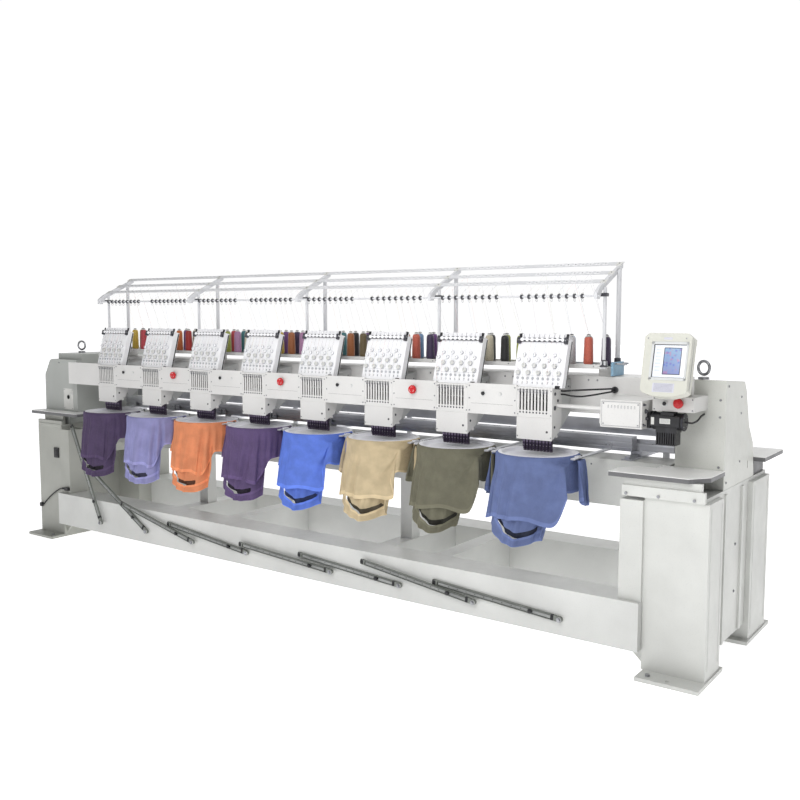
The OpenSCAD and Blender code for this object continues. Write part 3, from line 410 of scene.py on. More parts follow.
class Shape:
    """Solids in frame coordinates that become one named piece."""

    def __init__(self, name, finish):
        self.name = name
        self.finishes = [finish]
        self.kind = 0
        self.move = Matrix.Identity(4)
        self.points, self.faces, self.kinds = [], [], []

    def paint(self, finish):
        if finish not in self.finishes:
            self.finishes.append(finish)
        self.kind = self.finishes.index(finish)
        return self

    def at(self, move=None):
        """Solids added from here on are first moved by this matrix."""
        self.move = move or Matrix.Identity(4)
        return self

    def add(self, points, faces):
        base = len(self.points)
        self.points += [self.move @ Vector(p) for p in points]
        self.faces += [[base + i for i in face] for face in faces]
        self.kinds += [self.kind] * len(faces)
        return self

    def block(self, x0, x1, y0, y1, z0, z1, cut=0.0008):
        """A box with chamfered edges."""
        lo, hi = Vector((x0, y0, z0)), Vector((x1, y1, z1))
        mid, half = (lo + hi) / 2, (hi - lo) / 2
        cut = min(cut, min(half) * 0.8)
        points, index = [], {}
        for sx in (-1, 1):
            for sy in (-1, 1):
                for sz in (-1, 1):
                    for flat in range(3):
                        off = [half[a] - (0 if a == flat else cut) for a in range(3)]
                        index[sx, sy, sz, flat] = len(points)
                        points.append(mid + Vector((sx * off[0], sy * off[1], sz * off[2])))
        faces = []
        loop = ((-1, -1), (1, -1), (1, 1), (-1, 1))
        for s in (-1, 1):
            faces.append([index[s, a, b, 0] for a, b in loop])
            faces.append([index[a, s, b, 1] for a, b in loop])
            faces.append([index[a, b, s, 2] for a, b in loop])
        for a in (-1, 1):
            for b in (-1, 1):
                faces.append([index[-1, a, b, 1], index[1, a, b, 1], index[1, a, b, 2], index[-1, a, b, 2]])
                faces.append([index[a, -1, b, 0], index[a, 1, b, 0], index[a, 1, b, 2], index[a, -1, b, 2]])
                faces.append([index[a, b, -1, 0], index[a, b, 1, 0], index[a, b, 1, 1], index[a, b, -1, 1]])
                for c in (-1, 1):
                    faces.append([index[a, b, c, flat] for flat in range(3)])
        return self.add(points, faces)

    def lathe(self, origin, axis, profile, n=24, phase=0.0):
        """A solid of revolution; the profile is a list of (radius, distance along the axis)."""
        axis, side, up = basis(axis)
        origin = Vector(origin)
        points, rings = [], []
        for radius, along in profile:
            if radius < 1e-6:
                rings.append([len(points)])
                points.append(origin + axis * along)
                continue
            rings.append(list(range(len(points), len(points) + n)))
            for k in range(n):
                a = 2 * math.pi * k / n + phase
                points.append(origin + axis * along + side * math.cos(a) * radius + up * math.sin(a) * radius)
        faces = []
        for a, b in zip(rings, rings[1:]):
            for k in range(n):
                j = (k + 1) % n
                if len(a) == 1 and len(b) == 1:
                    continue
                if len(a) == 1:
                    faces.append([a[0], b[k], b[j]])
                elif len(b) == 1:
                    faces.append([a[k], b[0], a[j]])
                else:
                    faces.append([a[k], b[k], b[j], a[j]])
        closed = abs(profile[0][0] - profile[-1][0]) < 1e-9 and abs(profile[0][1] - profile[-1][1]) < 1e-9
        if not closed:
            faces += [ring for ring in (rings[0], rings[-1]) if len(ring) > 2]
        return self.add(points, faces)

    def rod(self, a, b, r, n=16, cut=0.0006):
        """A round bar from point a to point b with chamfered ends."""
        a, b = Vector(a), Vector(b)
        length = (b - a).length
        cut = min(cut, r * 0.4, length * 0.3)
        profile = [(0, 0), (r - cut, 0), (r, cut), (r, length - cut), (r - cut, length), (0, length)]
        return self.lathe(a, b - a, profile, n)

    def tube(self, points, r, n=8):
        """A round bar swept along points; r is one radius or one for each point."""
        points = [Vector(p) for p in points]
        radii = r if isinstance(r, (list, tuple)) else [r] * len(points)
        verts, faces = [], []
        last_side = None
        for i, p in enumerate(points):
            tangent = (points[min(i + 1, len(points) - 1)] - points[max(i - 1, 0)]).normalized()
            if last_side is None:
                last_side = basis(tangent)[1]
            side = (last_side - tangent * last_side.dot(tangent)).normalized()
            up = tangent.cross(side)
            last_side = side
            for k in range(n):
                a = 2 * math.pi * k / n
                verts.append(p + (side * math.cos(a) + up * math.sin(a)) * radii[i])
        for i in range(len(points) - 1):
            for k in range(n):
                j = (k + 1) % n
                faces.append([i * n + k, i * n + j, (i + 1) * n + j, (i + 1) * n + k])
        faces += [list(range(n)), list(range(len(verts) - n, len(verts)))]
        return self.add(verts, faces)

    def screw(self, at, axis, r=0.004, sides=24):
        """A pan-head screw with a sunk socket."""
        profile = [(0, -0.001), (r, -0.001), (r, r * 0.25), (r * 0.82, r * 0.5), (r * 0.45, r * 0.55),
                   (r * 0.42, r * 0.15), (0, r * 0.15)]
        return self.lathe(at, axis, profile, sides)

    def hexagon(self, at, axis, r, height):
        profile = [(0, -0.0005), (r, -0.0005), (r, height - r * 0.12), (r * 0.86, height), (0, height)]
        self.lathe(at, axis, [(0, -0.0005), (r * 1.35, -0.0005), (r * 1.35, r * 0.15), (0, r * 0.15)], 24)
        return self.lathe(at, axis, profile, 6)

    def make(self, body, slot, *replaced, angle=35, bevel=0.0, subdivide=0):
        mesh = bpy.data.meshes.new(self.name)
        mesh.from_pydata([tuple(p) for p in self.points], [], self.faces)
        for finish in self.finishes:
            mesh.materials.append(finish)
        mesh.polygons.foreach_set("material_index", self.kinds)
        work = bmesh.new()
        work.from_mesh(mesh)
        bmesh.ops.recalc_face_normals(work, faces=work.faces)
        work.to_mesh(mesh)
        work.free()
        mesh.shade_smooth()
        mesh.set_sharp_from_angle(angle=math.radians(angle))
        piece = bpy.data.objects.new(self.name, mesh)
        bpy.context.scene.collection.objects.link(piece)
        if bevel:
            soften(piece, bevel, weld=False)
        if subdivide:
            piece.modifiers.new("smooth", "SUBSURF").levels = subdivide
            piece.modifiers["smooth"].render_levels = subdivide
        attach(piece, body)
        if replaced:
            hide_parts(*replaced)
        return piece


def soften(piece, width, weld=True):
    """Rounds the sharp edges of a piece so that they catch the light."""
    if weld:
        piece.modifiers.new("weld", "WELD").merge_threshold = 0.00002
    bevel = piece.modifiers.new("edges", "BEVEL")
    bevel.width = width
    bevel.segments = 2
    bevel.limit_method = "ANGLE"
    bevel.angle_limit = math.radians(40)
    bevel.use_clamp_overlap = True


# ---- Cords ------------------------------------------------------------------------------------

LEAD_ROUTE = [
    (-2.0483, -0.490, 0.355), (-2.056, -0.490, 0.355), (-2.068, -0.490, 0.3545), (-2.082, -0.4895, 0.3535),
    (-2.098, -0.488, 0.351), (-2.114, -0.4855, 0.3475), (-2.130, -0.482, 0.343), (-2.146, -0.478, 0.3375),
    (-2.162, -0.475, 0.331), (-2.178, -0.4725, 0.3235), (-2.195, -0.471, 0.315), (-2.212, -0.4705, 0.3055),
    (-2.230, -0.470, 0.295), (-2.248, -0.470, 0.2835), (-2.266, -0.470, 0.2715), (-2.284, -0.470, 0.259),
    (-2.300, -0.470, 0.247), (-2.315, -0.470, 0.235), (-2.328, -0.470, 0.224), (-2.338, -0.470, 0.215),
    (-2.346, -0.470, 0.2085), (-2.352, -0.470, 0.205), (-2.356, -0.470, 0.204), (-2.3597, -0.470, 0.204),
]
LOOP_A = [
    (1.6743, -0.392, 1.216), (1.690, -0.392, 1.216), (1.720, -0.388, 1.219), (1.760, -0.370, 1.222),
    (1.800, -0.340, 1.224), (1.835, -0.300, 1.225), (1.855, -0.260, 1.225), (1.860, -0.232, 1.224),
    (1.860, -0.2178, 1.223),
]
LOOP_B = [
    (1.6743, -0.392, 1.200), (1.692, -0.392, 1.200), (1.725, -0.389, 1.195), (1.765, -0.372, 1.193),
    (1.805, -0.344, 1.199), (1.838, -0.304, 1.206), (1.856, -0.262, 1.210), (1.860, -0.232, 1.211),
    (1.860, -0.2178, 1.211),
]
CORD_R = 0.004


def smooth_route(points, steps=6):
    """More points along a route, on a Catmull-Rom curve through the given ones."""
    points = [Vector(p) for p in points]
    out = []
    for i in range(len(points) - 1):
        p0, p1 = points[max(i - 1, 0)], points[i]
        p2, p3 = points[i + 1], points[min(i + 2, len(points) - 1)]
        for s in range(steps):
            t = s / steps
            out.append(0.5 * (2 * p1 + (p2 - p0) * t + (2 * p0 - 5 * p1 + 4 * p2 - p3) * t * t
                              + (3 * p1 - p0 - 3 * p2 + p3) * t ** 3))
    return out + [points[-1]]


def build_cords():
    path = smooth_route(LEAD_ROUTE)
    lead = Shape("mains_lead_sheath", sheath).tube(path, CORD_R, 12)
    lead = lead.make("machine", "cable_sheath", "mains_lead")
    relief = Shape("lead_strain_relief", black_plastic)
    for k in range(7):
        start, end = path[1 + 3 * k], path[3 + 3 * k]
        relief.rod(start, end, lerp(0.0085, 0.0052, k / 6), 14)
    relief.tube(path[:20], [lerp(0.0072, 0.0044, k / 19) for k in range(20)], 12)
    relief = relief.make("machine", "black_plastic")
    for name, route in (("cable_loop_upper", LOOP_A), ("cable_loop_lower", LOOP_B)):
        path = smooth_route(route)
        loop = Shape(name, sheath).tube(path, CORD_R, 12)
        mesh_piece(loop, name)


def mesh_piece(loop, name):
    mesh = bpy.data.meshes.new(name)
    mesh.from_pydata([tuple(p) for p in loop.points], [], loop.faces)
    mesh.materials.append(sheath)
    mesh.shade_smooth()
    piece = bpy.data.objects.new(name, mesh)
    bpy.context.scene.collection.objects.link(piece)
    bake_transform(piece)
    if name == "cable_loop_upper":
        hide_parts("cable_loops")


build_cords()

# ---- Paint on the carried-over CAD nodes ---------------------------------------------------------

NODE_FINISH = {node: finish for finish, names in (
    (sill_paint, "base_frame"),
    (shaded_paint, "left_pedestal"),
    (grey_paint, "right_pedestal bed_beam"),
    (screw_steel, "lifting_eyes_and_bolts"),
    (cream_paint, "upper_beam spool_rack colour_change_box control_station head_cases link_plates"),
    (shaded_housing, "left_housing"),
    (housing_paint, "right_housing"),
    (cast_paint, "arm_housings cylinder_arms"),
    (laminate_white, "side_tables"),
    (tree_grey, "thread_tree"),
    (black_plastic, "colour_change_motor power_inlet"),
    (rail_metal, "pantograph_rails pantograph_y_frame pantograph_x_frame"),
    (dark_iron, "main_drive"),
    (board_white, "tension_boards"),
    (needle_metal, "idle_needle_sets needle_bars presser_feet"),
    (bright_steel, "take_up_levers"),
    (turned_steel, "upper_shaft lower_shaft"),
    (panel_shell, "operator_panel"),
) for node in names.split()}
SOFT_EDGES = {
    "base_frame": 0.002, "left_pedestal": 0.002, "right_pedestal": 0.002, "left_housing": 0.0025,
    "right_housing": 0.0025, "upper_beam": 0.002, "arm_housings": 0.003, "cylinder_arms": 0.0012,
    "side_tables": 0.0015, "colour_change_box": 0.0015, "control_station": 0.002, "link_plates": 0.0012,
    "head_cases": 0.0008, "tension_boards": 0.001, "operator_panel": 0.003, "spool_rack": 0.0008,
    "pantograph_x_frame": 0.0008, "pantograph_y_frame": 0.001, "bed_beam": 0.002,
}


def paint_nodes():
    finishes = dict(NODE_FINISH)
    for name in nodes:
        if name.startswith("rotary_hook"):
            finishes[name] = bright_steel
        elif name.startswith("table_leg"):
            finishes[name] = leg_paint
        elif name.startswith("start_button"):
            finishes[name] = black_plastic
        elif "stop_button" in name:
            finishes[name] = red_plastic
    for name, finish in finishes.items():
        node = nodes[name]
        node.data.materials.clear()
        node.data.materials.append(finish)
        if name in SOFT_EDGES:
            soften(node, SOFT_EDGES[name])


paint_nodes()

# ---- Thread cones ---------------------------------------------------------------------------------

RACK_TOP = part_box("thread_cones")[0].z
CONE_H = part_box("thread_cones")[1].z - RACK_TOP
FRONT_CONE_XS = [-0.123 + 0.09 * k for k in range(5)]
REAR_CONE_XS = [-0.078 + 0.09 * k for k in range(4)]
FRONT_CONE_Y, REAR_CONE_Y = -0.205, -0.105
FRONT_COLOURS = [
    "teal yellow pink_red coral cream_thread", "sky orange red lime plum", "leaf lime lilac cream_thread ink",
    "teal yellow rust lilac purple", "sky peach rust olive ink", "leaf yellow coral plum teal",
    "coral sky cream_thread ink lime", "lilac rust white_thread coral plum",
]
REAR_COLOURS = [
    "rust sky teal ink", "purple cream_thread leaf coral", "pink_red teal rust sky", "purple plum coral leaf",
    "teal ink purple lime", "rust sky purple ink", "coral ink lime plum", "lime sky teal purple",
]


def cone_profile(h, low, top, seed):
    """The outline of a wound cone: taper, soft shoulders and a slightly uneven winding."""
    chance = random.Random(seed)
    profile = [(0.0045, 0.004), (0.012, 0.004), (low - 0.004, 0.0045)]
    steps = 14
    for k in range(steps + 1):
        t = k / steps
        shoulder = 0.0035 * (max(0, 0.08 - t) / 0.08) ** 2 + 0.0045 * (max(0, t - 0.90) / 0.10) ** 2
        profile.append((lerp(low, top, t) - shoulder + chance.uniform(-0.00025, 0.00025),
                        0.006 + t * (h - 0.018)))
    return profile + [(0.013, h - 0.0105), (0.0045, h - 0.0105)]


def build_cones():
    low_r = 0.0245
    for head in range(HEADS):
        core = Shape(f"cone_cores_{head + 1}", label_white)
        places = [(x, FRONT_CONE_Y, c) for x, c in zip(FRONT_CONE_XS, FRONT_COLOURS[head].split())]
        places += [(x, REAR_CONE_Y, c) for x, c in zip(REAR_CONE_XS, REAR_COLOURS[head].split())]
        wound_piece = Shape(f"cones_{head + 1}", threads[places[0][2]])
        for k, (x, y, colour) in enumerate(places):
            base = (head_x(head) + x, y, RACK_TOP)
            chance = random.Random(97 * head + k)
            full = chance.uniform(0.93, 1.0)
            wound_piece.paint(threads[colour])
            profile = cone_profile(CONE_H, low_r * full, (low_r - 0.004) * full, k)
            wound_piece.lathe(base, (0, 0, 1), profile, 32)
            # paper core with its rims, the spindle cap and the foam disc under the cone
            core.paint(label_white).lathe(base, (0, 0, 1), [
                (0.0042, 0.002), (0.0165, 0.002), (0.0165, 0.0042), (0.0052, 0.0046),
                (0.0052, CONE_H - 0.008),
                (0.011, CONE_H - 0.008), (0.0105, CONE_H - 0.003), (0.0042, CONE_H - 0.002)], 24)
            core.paint(dark_plastic).lathe(base, (0, 0, 1), [
                (0.0, CONE_H - 0.004), (0.0088, CONE_H - 0.004), (0.0088, CONE_H - 0.0015), (0.006, CONE_H),
                (0, CONE_H)], 20)
            core.paint(rubber).lathe(base, (0, 0, 1),
                                     [(0.004, 0), (0.021, 0), (0.0225, 0.001), (0.021, 0.002),
                                                       (0.004, 0.002)], 24)
        wound_piece.make("machine", "thread", *(["thread_cones"] if head == 0 else []))
        core.make("machine", "thread")


build_cones()

# ---- Thread tree ------------------------------------------------------------------------------------

TREE_XS = (-1.814, -0.907, 0.0, 0.907, 1.814)
TREE_FRONT = Vector((0, -0.299, 1.690))
TREE_BACK = Vector((0, -0.051, 1.812))
TREE_ROD = Vector((0, -0.330, 1.650))
BAR_PLACES = (0.2, 0.55, 0.92)
BAR_HALF, BAR_T = 0.017, 0.004
HOOK_START, HOOK_PITCH = -0.144, 0.039


def build_thread_tree():
    slope = math.atan2(TREE_BACK.z - TREE_FRONT.z, TREE_BACK.y - TREE_FRONT.y)
    pierced = Shape("thread_tree_slots", slot_white)
    clips = Shape("thread_tree_clips", dark_plastic)
    for place in BAR_PLACES:
        at = TREE_FRONT.lerp(TREE_BACK, place)
        move = Matrix.Translation(at) @ Matrix.Rotation(slope, 4, "X") @ Matrix.Translation((0, 0, 0.002))
        pierced.at(move)
        clips.at(move)
        for i in range(HEADS):
            for k in range(NEEDLES):
                x = head_x(i) + HOOK_START + k * HOOK_PITCH
                pierced.block(x - 0.013, x + 0.013, -0.0125, -0.0065, BAR_T - 0.0002, BAR_T + 0.0006, 0.0002)
                pierced.block(x - 0.013, x + 0.013, 0.0055, 0.0115, BAR_T - 0.0002, BAR_T + 0.0006, 0.0002)
                clips.paint(bright_steel)
                clips.lathe((x, 0, BAR_T), (0, 0, 1), [(0.0018, -0.0002), (0.0034, 0.0002), (0.0034, 0.0014),
                                                       (0.0018, 0.002), (0.0018, -0.0002)], 14)
        for x in TREE_XS:
            clips.paint(label_white)
            clips.block(x - 0.014, x + 0.014, -BAR_HALF - 0.0010, BAR_HALF - 0.0060, -0.0015,
                        BAR_T + 0.0018, 0.0008)
            clips.paint(dark_plastic).screw((x, -0.004, BAR_T + 0.0018), (0, 0, 1), 0.0032)
    clips.at()
    for x in TREE_XS:
        clips.paint(dark_plastic)
        clips.lathe((x + 0.014, -0.270, RACK_TOP - 0.0005), (0, 0, 1), [
            (0.0082, 0), (0.019, 0), (0.019, 0.004), (0.013, 0.010), (0.0125, 0.030), (0.0082, 0.032)], 24)
        clips.lathe((x + 0.014, -0.110, RACK_TOP - 0.0005), (0, 0, 1), [
            (0.0112, 0), (0.022, 0), (0.022, 0.004), (0.016, 0.010), (0.0155, 0.034), (0.0112, 0.036)], 24)
        clips.block(x - 0.010, x + 0.028, -0.287, -0.2575, 1.648, 1.664, 0.002)
    pierced.make("machine", "bright_steel")
    clips.make("machine", "black_plastic")
    hooks = Shape("thread_eyes", dark_plastic)
    for i in range(HEADS):
        for k in range(NEEDLES):
            x = head_x(i) + HOOK_START + k * HOOK_PITCH
            hooks.paint(dark_plastic)
            hooks.lathe((x - 0.0045, TREE_ROD.y, TREE_ROD.z), (1, 0, 0), [
                (0.0052, 0), (0.0108, 0), (0.0112, 0.002), (0.0112, 0.007), (0.0108, 0.009),
                (0.0052, 0.009)], 20)
            # an open wire pigtail under each collar
            wire = [(x, TREE_ROD.y - 0.002, TREE_ROD.z - 0.009)]
            for s in range(15):
                a = math.radians(90 + 26 * s)
                wire.append((x + 0.0003 * s, TREE_ROD.y - 0.002 + 0.0065 * math.cos(a),
                             TREE_ROD.z - 0.0185 + 0.0065 * math.sin(a)))
            hooks.paint(bright_steel).tube(wire, 0.0010, 6)
            hooks.paint(label_white).lathe((x, TREE_ROD.y, TREE_ROD.z + 0.0095), (0, 0, 1), [
                (0, 0), (0.0048, 0), (0.0052, 0.0015), (0.0050, 0.006), (0, 0.0065)], 14)
    hooks.make("machine", "bright_steel")


build_thread_tree()

# ---- Threads between the cones, the tree and the boards ---------------------------------------------


def board_point(x, along, out):
    """A point on a tension board: along its face from the lower edge, and out from the face."""
    lean = (BOARD_HIGH - BOARD_LOW).normalized()
    normal = Vector((0, -lean.z, lean.y))
    return Vector((x, BOARD_LOW.y, BOARD_LOW.z)) + lean * along + normal * out


THREAD_R = 0.00025


def build_threads():
    for name, body in (("threads_over_tree", "machine"), ("threads_on_boards", "carriage")):
        strands = Shape(name, threads["white_thread"])
        for i in range(HEADS):
            colours = FRONT_COLOURS[i].split() + REAR_COLOURS[i].split()
            places = [(x, FRONT_CONE_Y) for x in FRONT_CONE_XS] + [(x, REAR_CONE_Y) for x in REAR_CONE_XS]
            order = sorted(range(NEEDLES), key=lambda k: places[k][0])
            for k, cone in enumerate(order):
                x, y = places[cone]
                eye = Vector((head_x(i) + HOOK_START + k * HOOK_PITCH, TREE_ROD.y, TREE_ROD.z))
                strands.paint(threads[colours[cone]])
                if body == "machine":
                    bar = TREE_FRONT.lerp(TREE_BACK, BAR_PLACES[0 if y == FRONT_CONE_Y else 1])
                    top = Vector((eye.x, bar.y, bar.z + 0.004))
                    strands.tube([(head_x(i) + x, y, RACK_TOP + CONE_H - 0.001), top], THREAD_R, 5)
                    strands.tube([top, (eye.x, eye.y - 0.004, eye.z + 0.020),
                                  (eye.x, eye.y - 0.002, eye.z - 0.024)],
                                 THREAD_R, 5)
                else:
                    guide_x = head_x(i) + HEAD_OFFSET + (k - WORKING) * KNOB_PITCH
                    strands.tube([
                        board_point(guide_x, BOARD_LEN - 0.0115, 0.0155),
                        board_point(guide_x - 0.007, UPPER_KNOBS[k % 2], 0.0142),
                        board_point(guide_x, 0.110, 0.0182),
                        board_point(guide_x, MAIN_KNOBS[k % 2], 0.0182), board_point(guide_x, 0.010, 0.004)],
                        THREAD_R, 5)
        strands.make(body, "thread")


build_threads()

# ---- Tension boards ------------------------------------------------------------------------------------

DIGIT_H = 0.011


def digit_meshes():
    """Generic figures 1-9 as flat outlines, from Blender's built-in font."""
    made = []
    for digit in range(1, 10):
        curve = bpy.data.curves.new(f"digit_{digit}", "FONT")
        curve.body = str(digit)
        curve.size = DIGIT_H * 1.4
        curve.align_x = "CENTER"
        curve.extrude = 0.0002
        holder = bpy.data.objects.new(f"digit_{digit}", curve)
        bpy.context.scene.collection.objects.link(holder)
        mesh = holder.evaluated_get(bpy.context.evaluated_depsgraph_get()).to_mesh()
        made.append(([v.co.copy() for v in mesh.vertices], [list(p.vertices) for p in mesh.polygons]))
        bpy.data.objects.remove(holder, do_unlink=True)
    return made


def build_boards():
    digits = digit_meshes()
    lean = (BOARD_HIGH - BOARD_LOW).normalized()
    normal = Vector((0, -lean.z, lean.y))
    for i in range(HEADS):
        mid = head_x(i) + HEAD_OFFSET
        # local axes on the board: X along the row, Y out of the face, Z up the board
        move = Matrix(((1, 0, 0, mid), (0, normal.y, lean.y, BOARD_LOW.y), (0, normal.z, lean.z, BOARD_LOW.z),
                       (0, 0, 0, 1)))
        trim = Shape(f"board_trim_{i + 1}", dark_plastic).at(move)
        top = BOARD_LEN - 0.011
        # roller strip, its corner blocks and the nine round guides
        trim.block(-0.116, 0.116, 0.002, 0.0105, top - 0.0095, top + 0.0085, 0.0012)
        for side in (-1, 1):
            trim.block(side * 0.121 - 0.0095, side * 0.121 + 0.0060 + (0.0035 if side < 0 else 0), -0.002,
                       0.0155,
                       top - 0.019, top + 0.0115, 0.002)
            trim.paint(screw_steel).screw((side * 0.1185, 0.0155, top - 0.004), (0, 1, 0), 0.0034)
            # black cap over the corner, beside the row of pins
            trim.paint(black_plastic).block(side * 0.1205 - 0.0065, side * 0.1205 + 0.0060, -0.010, 0.0020,
                                            top + 0.0105,
                                            BOARD_LEN + 0.019, 0.0012)
            trim.paint(dark_plastic)
        for k in range(NEEDLES):
            x = (k - WORKING) * KNOB_PITCH
            trim.paint(board_white).lathe((x, 0.0095, top - 0.001), (0, 1, 0), [
                (0, 0), (0.0082, 0), (0.0086, 0.0015), (0.0070, 0.0030), (0.0070, 0.0048), (0.0084, 0.0062),
                (0.0078, 0.0072), (0, 0.0074)], 20)
            # white pin over each guide
            trim.lathe((x, 0.0030, BOARD_LEN - 0.0020), (0, 0, 1), [
                (0, 0), (0.0050, 0), (0.0050, 0.0030), (0.0034, 0.0045), (0.0034, 0.0170), (0.0042, 0.0185),
                (0.0036, 0.0205), (0, 0.0208)], 16)
        trim.make("carriage", "board_plastic")
        knobs = Shape(f"tension_knobs_{i + 1}", bright_steel).at(move)
        for k in range(NEEDLES):
            for row in (0, 1):
                x = (k - WORKING) * KNOB_PITCH - 0.007 * row
                z, size, nut = ((MAIN_KNOBS[k % 2], 1.0, 0.0095), (UPPER_KNOBS[k % 2], 0.78, 0.0060))[row]
                # discs at the face, then a ribbed nut and a small cap over the CAD post
                knobs.paint(disc_grey).lathe((x, 0.0004, z), (0, 1, 0), [
                    (r * size, along) for r, along in (
                        (0.0088, 0), (0.0110, 0.0004), (0.0118, 0.0018), (0.0100, 0.0030), (0.0118, 0.0042),
                        (0.0110, 0.0054), (0.0089, 0.0060))], 22)
                knobs.paint(board_white if row else label_white).lathe((x, nut, z), (0, 1, 0), [
                    (r * size, along) for r, along in (
                        (0.0091, -0.002), (0.0102, -0.001), (0.0102, 0.0052), (0.0094, 0.0070),
                        (0.0040, 0.0078),
                        (0, 0.0078))], 12)
                knobs.paint(disc_grey).lathe((x, nut + 0.0077, z), (0, 1, 0), [
                    (0, 0), (0.0034, 0), (0.0028, 0.0016), (0, 0.0018)], 12)
            # lower thread guide loop and the break sensor's roller
            x = (k - WORKING) * KNOB_PITCH
            knobs.paint(disc_grey).lathe((x, 0.0, 0.036), (0, 1, 0), [
                (0, 0.0002), (0.0058, 0.0002), (0.0062, 0.0012), (0.0042, 0.0022), (0.0042, 0.0042),
                (0.0060, 0.0054),
                (0.0052, 0.0062), (0, 0.0064)], 16)
            points, faces = digits[k]
            knobs.paint(figure_grey)
            flat = [Vector((p.x + x, 0.0004 - p.z, p.y + 0.0105)) for p in points]
            knobs.add(flat, faces)
        # seam line, the return's dark edge and the small bracket under the corner
        knobs.paint(disc_grey).block(-0.120, 0.120, -0.0005, 0.0008, 0.0505, 0.0515, 0.0002)
        knobs.paint(board_white).block(0.1262, 0.1274, -0.034, -0.0016, 0.006, BOARD_LEN - 0.006, 0.0004)
        knobs.paint(black_plastic).block(0.1262, 0.1275, -0.0424, -0.0340, 0.006, BOARD_LEN - 0.006, 0.0004)
        knobs.block(0.092, 0.116, -0.012, 0.0030, -0.0075, 0.0065, 0.0010)
        knobs.make("carriage", "board_plastic")


build_boards()

# ---- Needle cases and link plates ------------------------------------------------------------------------

SLOT_LOW, SLOT_HIGH = 1.126, 1.224


def build_case_trim():
    front = CASE_FRONT
    for i in range(HEADS):
        mid = head_x(i)
        trim = Shape(f"case_guides_{i + 1}", bright_steel)
        for k in range(NEEDLES):
            x = mid + needle_x(k)
            # crossed thread guide at the top of each slot, and its felt below
            for tilt in (-1, 1):
                trim.paint(bright_steel).tube([
                    (x - tilt * 0.0062, front - 0.0012, SLOT_HIGH - 0.002),
                    (x, front - 0.0026, SLOT_HIGH - 0.009),
                    (x + tilt * 0.0062, front - 0.0012, SLOT_HIGH - 0.016)], 0.0011, 8)
            trim.paint(dark_plastic).lathe((x, front + 0.0006, SLOT_LOW - 0.010), (0, -1, 0), [
                (0, 0), (0.0040, 0), (0.0042, 0.0012), (0.0028, 0.0022), (0, 0.0024)], 16)
        # fixing screws along the hems of the slotted cover
        for x in (-CASE_HALF + HEAD_OFFSET + 0.006, CASE_HALF + HEAD_OFFSET - 0.006):
            for z in (1.106, 1.218, 1.004):
                trim.paint(screw_steel).screw((mid + x, front, z), (0, -1, 0), 0.0032)
        trim.paint(dark_plastic).lathe((mid + HEAD_OFFSET + 0.066, front + 0.0004, 1.030), (0, -1, 0), [
            (0, 0), (0.0055, 0), (0.0055, 0.0012), (0.0040, 0.0020), (0, 0.0022)], 20)
        # round fittings on the side of the case
        side = mid + HEAD_OFFSET + CASE_HALF
        for y, z, r in ((-0.446, 1.205, 0.0075), (-0.446, 1.140, 0.0110), (-0.418, 1.172, 0.0065),
                        (-0.448, 1.052, 0.0060)):
            trim.paint(dark_plastic).lathe((side - 0.0003, y, z), (1, 0, 0), [
                (0, 0), (r, 0), (r, 0.0018), (r * 0.8, 0.0030), (r * 0.35, 0.0032), (r * 0.3, 0.0018),
                (0, 0.0018)], 24)
        trim.make("carriage", "bright_steel")
        # a near-black sheet behind the slots: painted shadow inside the case
        backing = Shape(f"case_shadow_{i + 1}", hole_shadow_black)
        backing.block(mid + HEAD_OFFSET - CASE_HALF + 0.0045, mid + HEAD_OFFSET + CASE_HALF - 0.0045,
                      -0.3925, -0.3915,
                      1.115, 1.2055, 0.0003)
        backing.make("carriage", "black_plastic")


BUTTON_Z = 1.192


def build_link_trim():
    front = CASE_FRONT
    trim = Shape("link_plate_trim", screw_steel)
    for i in range(HEADS - 1):
        left, right = head_x(i) + HEAD_OFFSET + CASE_HALF, head_x(i + 1) + HEAD_OFFSET - CASE_HALF
        for x in (left + 0.010, right - 0.010):
            for z in (1.108, 1.166, 1.226):
                trim.paint(screw_steel).screw((x, front, z), (0, -1, 0), 0.0036)
        # pressed line along the plate and the button surrounds
        trim.paint(dark_plastic).block(left + 0.020, right - 0.020, front - 0.0004, front + 0.0004, 1.1425,
                                       1.1433, 0.0002)
        spots = ((gap_x(i) - 0.046, 0.0125, 0.0098), (gap_x(i) + 0.046, 0.0095, 0.0063)) if i % 2 == 0 else (
            (gap_x(i), 0.0260, 0.0212),)
        for x, outer, inner in spots:
            ring = panel_bezel if i % 2 == 0 else label_white
            trim.paint(ring).lathe((x, front + 0.0002, BUTTON_Z), (0, -1, 0), [
                (inner, 0), (outer, 0), (outer, 0.0010), (outer - 0.0015, 0.0018), (inner, 0.0018),
                (inner, 0)], 32)
    trim.make("carriage", "cream_paint")
    for k, x in enumerate((gap_x(1), gap_x(3), gap_x(5))):
        collar = Shape(f"stop_button_grip_{k + 1}", red_plastic)
        collar.lathe((x, front - 0.0100, BUTTON_Z), (0, -1, 0), [
            (0.0202, 0.0005), (0.0214, 0.0022), (0.0214, 0.0085), (0.0206, 0.0105), (0.0202, 0.0105),
            (0.0202, 0.0005)], 40)
        for spoke in range(3):
            a = math.radians(90 + 120 * spoke)
            collar.paint(label_white).tube([
                (x + 0.013 * math.cos(a + 0.5), front - 0.0221, BUTTON_Z + 0.013 * math.sin(a + 0.5)),
                (x + 0.0135 * math.cos(a), front - 0.0222, BUTTON_Z + 0.0135 * math.sin(a)),
                (x + 0.013 * math.cos(a - 0.5), front - 0.0221, BUTTON_Z + 0.013 * math.sin(a - 0.5))],
                0.0008, 6)
        collar.make(f"stop_button_{k + 1}", "red_plastic")


build_case_trim()
build_link_trim()

# ---- Needle clamps ------------------------------------------------------------------------------------

CLAMP_LOW, CLAMP_HIGH = 0.950, 0.990


